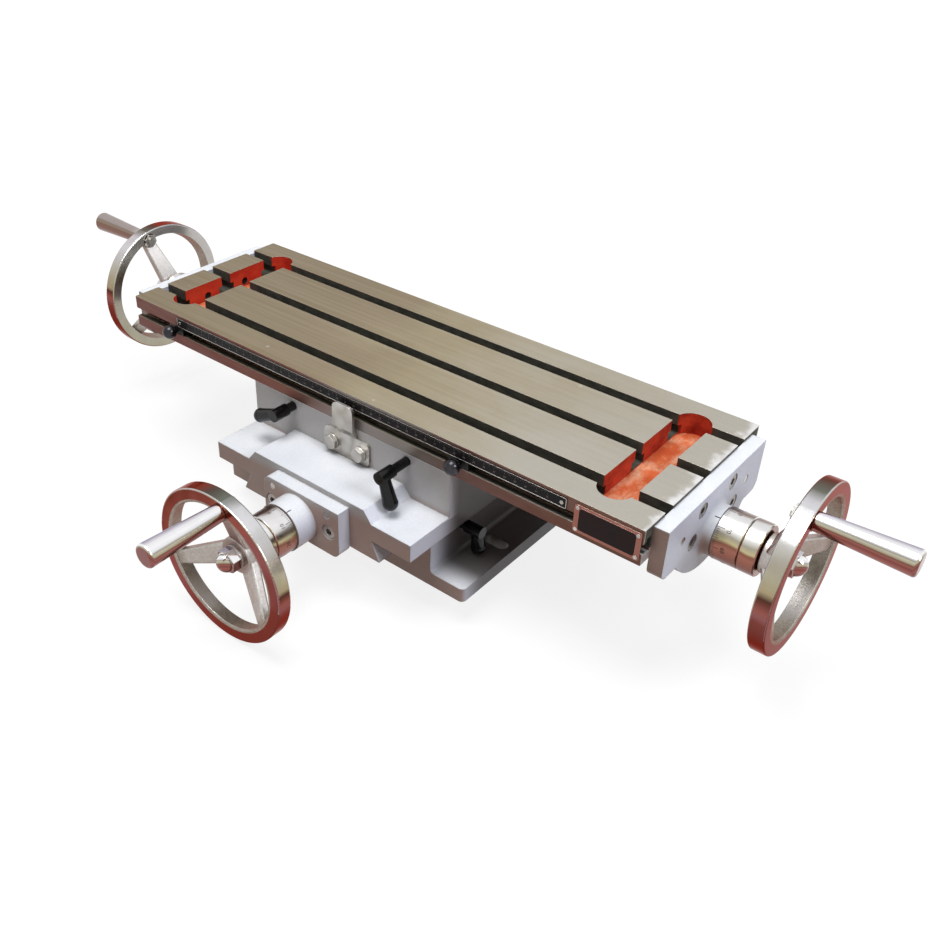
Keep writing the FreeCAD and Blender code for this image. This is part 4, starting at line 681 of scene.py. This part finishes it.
keep(handwheel("right"), "handwheel")
keep(handwheel("front"), "front_handwheel")
keep(handwheel("left"), "left_handwheel")

# %% [markdown]
# ### Dark pieces
# Levers, knobs, the scale's ground and engraved lines are near black. What makes them real is the paler edge,
# from wear and a painted highlight, and a gloss that is not the same everywhere. In other tones the same recipe
# gives bronze, iron and print.

# %% Dark finishes
def dark_finish(name, low, high, roughness, metallic=0.0, specular=0.3, edge=(96, 94, 92)):
    """Plain finish between two tones, with edges paler from wear and a painted highlight."""
    finish, tree, shader, place = start_finish(name, Metallic=metallic, Specular_IOR_Level=specular)
    patches = use(tree, UNEVEN, Place=place, Scale=120.0).outputs[0]
    edges = use(tree, SOFT_EDGES, Radius=0.5 * MM)
    body = mixed(tree, patches, colour(*low), colour(*high))
    # Paler edges: wear and a painted highlight.
    body = mixed(tree, product(tree, edges.outputs["Edge"], 0.3), body, colour(*edge))
    connect(tree, shader.inputs["Base Color"], body)
    connect(tree, shader.inputs["Roughness"], ranged(tree, patches, 0, 1, roughness, roughness + 0.12))
    grain = add(tree, "ShaderNodeTexNoise", {"Vector": place, "Scale": 900.0, "Detail": 2.0}).outputs[0]
    connect(tree, shader.inputs["Normal"], bumped(tree, grain, 0.08, 0.2 * MM, edges.outputs["Normal"]))
    return finish


keep(dark_finish("cast_iron", (70, 68, 66), (98, 95, 92), 0.5, 0.6))
keep(dark_finish("bronze", (150, 112, 60), (184, 142, 82), 0.35, 1.0, edge=(220, 190, 130)))
keep(dark_finish("black_lever", (5, 6, 6), (12, 13, 13), 0.10, edge=(58, 58, 56)))
keep(dark_finish("black_scale", (12, 9, 10), (24, 18, 19), 0.4, specular=0.15))
keep(dark_finish("dog_steel", (34, 32, 31), (56, 52, 50), 0.45, 0.3))
keep(dark_finish("dog_knob", (46, 45, 48), (72, 70, 74), 0.16, 0.9))

# %% [markdown]
# ### Painting the model
# Each node of the model takes the finish of its slot in the record. The front and left wheels take their own
# copies, and the domed nuts are as bright as the handles.

# %% Paint the model's nodes
for part in frame["record"]["subparts"]:
    node = frame["nodes"][part["node"]]
    node.data.materials.clear()
    node.data.materials.append(FINISHES[part["material_slot"]])
for name in ("front_handwheel", "left_handwheel"):
    frame["nodes"][name].data.materials[0] = FINISHES[name]
for name in ("x_hub_nuts", "y_hub_nut"):
    frame["nodes"][name].data.materials[0] = FINISHES["polished_steel"]

# %% [markdown]
# ## Added pieces
# Fine pieces are modelled as by hand: a primitive is added, shaped and given its place. Operators act on what
# is selected, so everything is deselected first. A finished piece sits at the origin with its place in its
# mesh, and rides on the body that carries it.

# %% Selecting, joining and settling
def unselect():
    """Leave edit mode and select nothing."""
    if bpy.context.object and bpy.context.object.mode != "OBJECT":
        bpy.ops.object.mode_set(mode="OBJECT")
    bpy.ops.object.select_all(action="DESELECT")


def select(*pieces):
    """Select only these pieces."""
    unselect()
    for piece in pieces:
        piece.select_set(True)
    bpy.context.view_layer.objects.active = pieces[-1]


def joined(pieces):
    """Join several pieces into one."""
    select(*pieces)
    bpy.ops.object.join()
    return bpy.context.object


def settle(piece, name, body, slot, finish=None, place=None):
    """Name a piece, leave it at the origin, and let it ride on a body."""
    if place is not None:
        piece.matrix_world = place @ piece.matrix_world
    select(piece)
    bpy.ops.object.transform_apply(location=True, rotation=True, scale=True)
    piece.name = piece.data.name = name
    piece.data.materials.clear()
    piece.data.materials.append(finish or FINISHES[slot])
    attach(piece, body)
    print(name, "faces", len(piece.data.polygons))
    return piece


print("ready to model")

# %% [markdown]
# What repeats is modelled once. An array modifier sets the strip's marks in a row, and spin with duplicates
# sets the dials' marks in a ring.

# %% Blocks, rows and rings
def block(low, high):
    """Block between two corners."""
    unselect()
    bpy.ops.mesh.primitive_cube_add(size=1, location=(Vector(low) + Vector(high)) / 2)
    piece = bpy.context.object
    piece.scale = Vector(high) - Vector(low)
    bpy.ops.object.transform_apply(location=True, rotation=True, scale=True)
    return piece


def row_of(piece, step, count):
    """Repeat a piece in a straight row."""
    select(piece)
    repeat = piece.modifiers.new("row", "ARRAY")
    repeat.use_relative_offset = False
    repeat.use_constant_offset = True
    repeat.constant_offset_displace = step
    repeat.count = count
    bpy.ops.object.modifier_apply(modifier=repeat.name)
    return piece


def round_of(piece, count):
    """Repeat a piece round the Z axis."""
    select(piece)
    bpy.ops.object.mode_set(mode="EDIT")
    bpy.ops.mesh.select_all(action="SELECT")
    bpy.ops.mesh.spin(dupli=True, steps=count, angle=2 * pi, center=(0, 0, 0), axis=(0, 0, 1))
    # The last copy lies on the first one, so the two are merged.
    bpy.ops.mesh.select_all(action="SELECT")
    bpy.ops.mesh.remove_doubles(threshold=0.002 * MM)
    bpy.ops.object.mode_set(mode="OBJECT")
    return piece


print("shapes: block, row_of, round_of")

# %% [markdown]
# Numbers start as text, which is drawn as clean outlines, and become a mesh before they get their place. They
# are as thin as paint, and their curves have few points, because they are small.

# %% Numbers
def figure(text, size, place):
    """A number as thin as a print. It reads along X with its top towards Y."""
    unselect()
    bpy.ops.object.text_add()
    piece = bpy.context.object
    piece.data.body = text
    piece.data.align_x = "CENTER"
    piece.data.align_y = "CENTER"
    piece.data.size = size
    piece.data.resolution_u = 2
    piece.data.extrude = 0.01 * MM
    bpy.ops.object.convert(target="MESH")
    piece = bpy.context.object
    piece.matrix_world = place
    bpy.ops.object.transform_apply(location=True, rotation=True, scale=True)
    return piece


print("numbers ready")

# %% [markdown]
# Marks and bolts are modelled upright at the origin and then carried to their place. A crank is the place
# where a shaft leaves its boss, with Z along the shaft. Forward turns a flat number to face the viewer.

# %% Places
END_BOSS_FACE = 313.5 * MM
FRONT_BOSS_FACE = 179.5 * MM


def framed(along_x, along_y, along_z, spot):
    """Place whose own axes point along three given directions."""
    turned = Matrix((along_x, along_y, along_z)).transposed().to_4x4()
    return Matrix.Translation(spot) @ turned


FORWARD = framed((1, 0, 0), (0, 0, 1), (0, -1, 0), (0, 0, 0))
CRANKS = {
    "right": framed((0, 0, 1), (0, -1, 0), (1, 0, 0), (END_BOSS_FACE, 0, LONG_AXIS)),
    "left": framed((0, 0, 1), (0, 1, 0), (-1, 0, 0), (-END_BOSS_FACE, 0, LONG_AXIS)),
    "front": framed((0, 0, 1), (-1, 0, 0), (0, -1, 0), (0, -FRONT_BOSS_FACE, CROSS_AXIS)),
}
print("cranks:", ", ".join(CRANKS))

# %% [markdown]
# ### Scale strip
# The strip on the table's front edge is black with a silver line round it. The line could be a mask in the
# finish, but four thin blocks keep it straight and sharp from close by, and stand out by only a twentieth of a
# millimetre.

# %% Scale border
SCALE_LOW, SCALE_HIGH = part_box("scale_strip")
STRIP_FACE = SCALE_LOW[1]
LINE = 0.6 * MM
PRINT = 0.05 * MM
SILVER = bright_steel("scale_silver", ZINC, 0.4)
DULL_SILVER = dark_finish("scale_print", (150, 140, 136), (176, 166, 160), 0.5, edge=(190, 184, 180))


def on_strip(left, right, low, high):
    """Thin block on the strip's face."""
    return block((left, STRIP_FACE - PRINT, low), (right, STRIP_FACE + PRINT, high))


border = [
    on_strip(SCALE_LOW[0], SCALE_HIGH[0], SCALE_LOW[2], SCALE_LOW[2] + LINE),
    on_strip(SCALE_LOW[0], SCALE_HIGH[0], SCALE_HIGH[2] - LINE / 2, SCALE_HIGH[2]),
    on_strip(SCALE_LOW[0], SCALE_LOW[0] + LINE, SCALE_LOW[2], SCALE_HIGH[2]),
    on_strip(SCALE_HIGH[0] - LINE, SCALE_HIGH[0], SCALE_LOW[2], SCALE_HIGH[2]),
]
settle(joined(border), "scale_border", "table", "black_scale", SILVER)

# %% [markdown]
# The scale has a mark at each millimetre, longer ones at five and ten, and a number at every centimetre. A row
# of each length is one block repeated, and all rows and numbers are joined, as they are one print.

# %% Scale marks
SCALE_START = -210 * MM
CENTIMETRES = 42
MARKS_TOP = SCALE_HIGH[2] - 0.9 * MM
NUMBERS_MIDDLE = SCALE_LOW[2] + 3.4 * MM


def mark_row(step, count, height, width):
    """Row of marks that hang from the strip's upper edge."""
    left = SCALE_START - width / 2
    return row_of(on_strip(left, left + width, MARKS_TOP - height, MARKS_TOP), (step, 0, 0), count)


marks = [
    mark_row(1 * MM, 10 * CENTIMETRES + 1, 1.2 * MM, 0.16 * MM),
    mark_row(5 * MM, 2 * CENTIMETRES + 1, 2.0 * MM, 0.22 * MM),
    mark_row(10 * MM, CENTIMETRES + 1, 2.8 * MM, 0.3 * MM),
]
for number in range(CENTIMETRES + 1):
    spot = (SCALE_START + number * 10 * MM, STRIP_FACE - PRINT / 2, NUMBERS_MIDDLE)
    marks.append(figure(str(number), 2.6 * MM, Matrix.Translation(spot) @ FORWARD))
settle(joined(marks), "scale_marks", "table", "black_scale", DULL_SILVER)

# %% [markdown]
# ### Name plate
# It stays bare: a brown metal border, a fine raised line inside it, and a plain black field with round corners.
# Each panel is a thin block whose four upright edges are found by their direction and bevelled.

# %% Name plate
PLATE_LOW, PLATE_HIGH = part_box("name_plate")
PLATE_BLACK = dark_finish("plate_black", (26, 12, 12), (42, 22, 21), 0.42, specular=0.15, edge=(60, 36, 32))


def plate_panel(margin_x, margin_z, proud, corner):
    """Panel with round corners on the plate's face."""
    panel = block((PLATE_LOW[0] + margin_x, PLATE_LOW[1] - proud, PLATE_LOW[2] + margin_z),
                  (PLATE_HIGH[0] - margin_x, PLATE_LOW[1] + PRINT, PLATE_HIGH[2] - margin_z))
    select(panel)
    bpy.ops.object.mode_set(mode="EDIT")
    bpy.ops.mesh.select_all(action="DESELECT")
    bpy.ops.mesh.select_mode(type="EDGE")
    bpy.ops.object.mode_set(mode="OBJECT")
    for edge in panel.data.edges:
        ends = [panel.data.vertices[v].co for v in edge.vertices]
        edge.select = abs(ends[0].y - ends[1].y) > PRINT
    bpy.ops.object.mode_set(mode="EDIT")
    bpy.ops.mesh.bevel(offset=corner, segments=5)
    bpy.ops.object.mode_set(mode="OBJECT")
    return panel


settle(plate_panel(3.6 * MM, 2.0 * MM, PRINT, 3 * MM), "plate_line", "table", "bare_plate",
       bright_steel("plate_copper", COPPERY, 0.3))
settle(plate_panel(4.2 * MM, 2.6 * MM, 2 * PRINT, 2.5 * MM), "plate_field", "table", "bare_plate", PLATE_BLACK)

# %% [markdown]
# ### Dials
# Eighty divisions go round each ring, longer at every fifth and tenth, with a number at each tenth. On the
# real ring they are engraved and filled with black. Cutting them would change the ring, so they lie on it as
# thin as the filling. One mark is modelled and spun.

# %% Dial graduations
ENGRAVED = dark_finish("engraved_black", (22, 20, 20), (36, 32, 32), 0.5)
DIVISIONS = 80
RING_START = 0.3 * MM
RING_RADIUS = 22 * MM
NUMBER_RING = RING_START + 10.4 * MM
MARK_RISE = 0.03 * MM


def ring_mark(length, width):
    """One mark at the ring's inner edge."""
    start = RING_START + 0.9 * MM
    return block((RING_RADIUS - MARK_RISE, -width / 2, start),
                 (RING_RADIUS + MARK_RISE, width / 2, start + length))


for side, place in CRANKS.items():
    graduations = [
        round_of(ring_mark(2.8 * MM, 0.32 * MM), DIVISIONS),
        round_of(ring_mark(4.2 * MM, 0.38 * MM), DIVISIONS // 5),
        round_of(ring_mark(6.0 * MM, 0.46 * MM), DIVISIONS // 10),
    ]
    for number in range(DIVISIONS // 10):
        turn = Matrix.Rotation(-number * pi / 4, 4, "Z")
        out = framed((0, 1, 0), (0, 0, 1), (1, 0, 0), (RING_RADIUS + MARK_RISE / 2, 0, NUMBER_RING))
        graduations.append(figure(str(number * 10), 5.2 * MM, turn @ out))
    settle(joined(graduations), side + "_dial_marks", side + "_dial", "dial_steel", ENGRAVED, place)

# %% [markdown]
# A datum line on each boss shows where to read the ring beside it. It leans away from the top, towards the
# worker, and rides on the casting and not on the ring.

# %% Datum lines
LINE_WIDTH = 0.8 * MM
DATUM_LINES = [  # side, lean in degrees, boss radius, length, body
    ("right", 28, 21.5 * MM, 5.5 * MM, "table"),
    ("left", -28, 21.5 * MM, 5.5 * MM, "table"),
    ("front", -24, 23 * MM, 5 * MM, "saddle"),
]
for side, lean, radius, length, body in DATUM_LINES:
    line = block((radius - MARK_RISE, -LINE_WIDTH / 2, -length), (radius + MARK_RISE, LINE_WIDTH / 2, 0))
    settle(line, side + "_datum_line", body, "casting_paint", ENGRAVED,
           CRANKS[side] @ Matrix.Rotation(radians(lean), 4, "Z"))

# %% [markdown]
# ### Bolts of the index bracket
# A forged hexagon head has a turned chamfer on its outer face and sits on a washer. The model's plain hexagons
# are replaced: a six-sided cylinder is cut with a cone by a boolean, and the washer is a bevelled disc.

# %% Disc and hexagon
def rounded_disc(radius, low, high, edge):
    """Disc along Z with round rims."""
    unselect()
    bpy.ops.mesh.primitive_cylinder_add(vertices=48, radius=radius, depth=high - low,
                                        location=(0, 0, (low + high) / 2))
    piece = bpy.context.object
    bpy.ops.object.transform_apply(location=True, rotation=True, scale=True)
    soften = piece.modifiers.new("rim", "BEVEL")
    soften.width = edge
    soften.segments = 3
    soften.limit_method = "ANGLE"
    soften.angle_limit = radians(40)
    bpy.ops.object.modifier_apply(modifier=soften.name)
    return piece


def hexagon_head(across, low, high):
    """Hexagon prism along Z whose outer corners are turned off by a cone."""
    unselect()
    bpy.ops.mesh.primitive_cylinder_add(vertices=6, radius=across / 3 ** 0.5, depth=high - low,
                                        location=(0, 0, (low + high) / 2))
    head = bpy.context.object
    unselect()
    face = across / 2 * 0.96  # radius of the flat that the chamfer leaves
    depth = 3 * (high - low)
    bpy.ops.mesh.primitive_cone_add(vertices=72, radius1=face + depth * 1.9, radius2=face, depth=depth,
                                    location=(0, 0, high - depth / 2))
    cone = bpy.context.object
    select(head)
    turned = head.modifiers.new("chamfer", "BOOLEAN")
    turned.operation = "INTERSECT"
    turned.object = cone
    bpy.ops.object.modifier_apply(modifier=turned.name)
    bpy.data.objects.remove(cone)
    return head


print("disc and hexagon ready")

# %% [markdown]
# Head, washer and stem are joined, since the bolt is one piece to the eye. No two bolts stop at the same
# angle when they are tightened, so each head gets its own small turn.

# %% Index bolts
BOLT_LOW, BOLT_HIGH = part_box("index_bolts")
BOLT_MIDDLE = (BOLT_LOW[0] + BOLT_HIGH[0]) / 2
BOLT_LEVEL = (BOLT_LOW[2] + BOLT_HIGH[2]) / 2
BOLT_SPREAD = 33 * MM
BRACKET_FACE = -98 * MM
HEAD_HEIGHT = 4.95 * MM
HEAD_ACROSS = 13 * MM
WASHER_RADIUS = 7.4 * MM
WASHER_HEIGHT = 1.2 * MM
STEM_RADIUS = 4 * MM
STEM_LENGTH = 12 * MM

bolts = []
for offset, twist in ((-BOLT_SPREAD / 2, -4), (BOLT_SPREAD / 2, 12)):
    spot = Matrix.Translation((BOLT_MIDDLE + offset, BRACKET_FACE, BOLT_LEVEL)) @ FORWARD
    bolt = joined([
        rounded_disc(WASHER_RADIUS, 0, WASHER_HEIGHT, 0.3 * MM),
        hexagon_head(HEAD_ACROSS, WASHER_HEIGHT, HEAD_HEIGHT),
        rounded_disc(STEM_RADIUS, -STEM_LENGTH, 0.2 * MM, 0.4 * MM),
    ])
    bolt.matrix_world = spot @ Matrix.Rotation(radians(twist), 4, "Z") @ bolt.matrix_world
    select(bolt)
    bpy.ops.object.transform_apply(location=True, rotation=True, scale=True)
    bolts.append(bolt)
bolts = settle(joined(bolts), "index_bolt_heads", "saddle", "bright_zinc")
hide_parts("index_bolts")

# %% [markdown]
# ## Floor, light and camera
# A white ground could come from strong light, but that would bleach the object. Instead floor and room are
# white only to the camera, in reflections and through glass, and weak to everything they light.

# %% Who looks
def seen(tree):
    """One for the camera, reflections and glass, zero for light that falls on things."""
    ray = add(tree, "ShaderNodeLightPath").outputs
    direct = calculate(tree, "MAXIMUM", ray["Is Camera Ray"], ray["Is Glossy Ray"])
    return calculate(tree, "MAXIMUM", direct, ray["Is Transmission Ray"])


print("ready for the surroundings")

# %% [markdown]
# The floor is plain and pale. Where it is looked at it mostly glows, so only a soft part of the object's
# shadow shows on it, and further away it is white altogether. In the light that it throws back it is a brown
# bench.

# %% Floor
FLOOR_SIZE = 12
NEAR, FAR = 0.3, 1.3  # the shadow's part of the floor fades out between these distances

unselect()
bpy.ops.mesh.primitive_plane_add(size=FLOOR_SIZE, location=(0, 0, cad_box[0][2] - 1 * MM))
floor = bpy.context.object
floor.name = "floor"
ground = bpy.data.materials.new("pale_floor")
ground.use_nodes = True
tree = ground.node_tree
tree.nodes.clear()
looked_at = seen(tree)
away = vector_step(tree, "LENGTH", add(tree, "ShaderNodeTexCoord").outputs["Object"]).outputs["Value"]
share = product(tree, looked_at, ranged(tree, away, NEAR, FAR, 0.8, 1.0))
bench_tone = mixed(tree, looked_at, (0.24, 0.18, 0.15, 1), (1, 1, 1, 1))
plain = add(tree, "ShaderNodeBsdfDiffuse", {"Color": bench_tone}).outputs[0]
glow = add(tree, "ShaderNodeEmission", {"Color": (1, 1, 1, 1), "Strength": 1.05}).outputs[0]
blend = add(tree, "ShaderNodeMixShader", {0: share, 1: plain, 2: glow}).outputs[0]
add(tree, "ShaderNodeOutputMaterial", {0: blend})
floor.data.materials.append(ground)
print("floor at", round(floor.location.z, 4))

# %% [markdown]
# Soft lamps stand for the workshop's light: a large one overhead and a smaller one to the right, high enough
# that the table shades the castings under it. A weak one behind lifts the back out of the dark, and shows in
# no reflection, so that the ground top keeps its tone.

# %% Lamps
def lamp(name, spot, aim, size, power, tint):
    """Soft square lamp aimed at a spot."""
    unselect()
    bpy.ops.object.light_add(type="AREA", location=spot)
    piece = bpy.context.object
    piece.name = name
    piece.data.size = size
    piece.data.energy = power
    piece.data.color = tint
    piece.rotation_euler = (Vector(aim) - Vector(spot)).to_track_quat("-Z", "Y").to_euler()
    return piece


lamp("top_lamp", (-0.1, -0.42, 2.1), (0, -0.05, 0.1), 1.2, 36, (1.0, 0.995, 0.985))
lamp("side_lamp", (1.75, -0.05, 1.35), (0.1, 0, 0.1), 0.7, 19, (0.90, 0.92, 1.0))
back_lamp = lamp("back_lamp", (-1.3, 1.7, 0.9), (0, 0, 0.1), 1.0, 12, (1.0, 1.0, 1.0))
back_lamp.visible_glossy = False

# %% [markdown]
# The room itself lights the object from all round, but weakly, so that the lamps still model it.

# %% World
ROOM_LIGHT = 0.10

world = bpy.data.worlds.new("room")
bpy.context.scene.world = world
world.use_nodes = True
tree = world.node_tree
background = tree.nodes["Background"]
connect(tree, background.inputs["Color"], (1, 1, 1, 1))
connect(tree, background.inputs["Strength"], ranged(tree, seen(tree), 0, 1, ROOM_LIGHT, 1.0))
print("world:", world.name)

# %% [markdown]
# The camera looks from the right front and above. Its lens, place and lean come from measuring known corners
# of the table in a view of the real one. The shift keeps the view as it was framed, without turning the lens.

# %% Camera
STAND = (0.53131, -0.64333, 0.58959)

bpy.ops.object.camera_add()
camera = bpy.context.object
camera.name = "camera"
camera.data.sensor_width = 36
camera.data.lens = 38.81
camera.data.shift_x = 0.0574
camera.data.shift_y = -0.0367
camera.data.clip_end = 50
heading = Matrix.Rotation(radians(39.241), 4, "Z")
tilt = Matrix.Rotation(pi / 2 - radians(32.862), 4, "X")
roll = Matrix.Rotation(radians(1.275), 4, "Z")
camera.matrix_world = Matrix.Translation(STAND) @ heading @ tilt @ roll
bpy.context.scene.camera = camera
bpy.context.scene.view_settings.view_transform = "Standard"
print("camera at", tuple(round(c, 3) for c in camera.location))
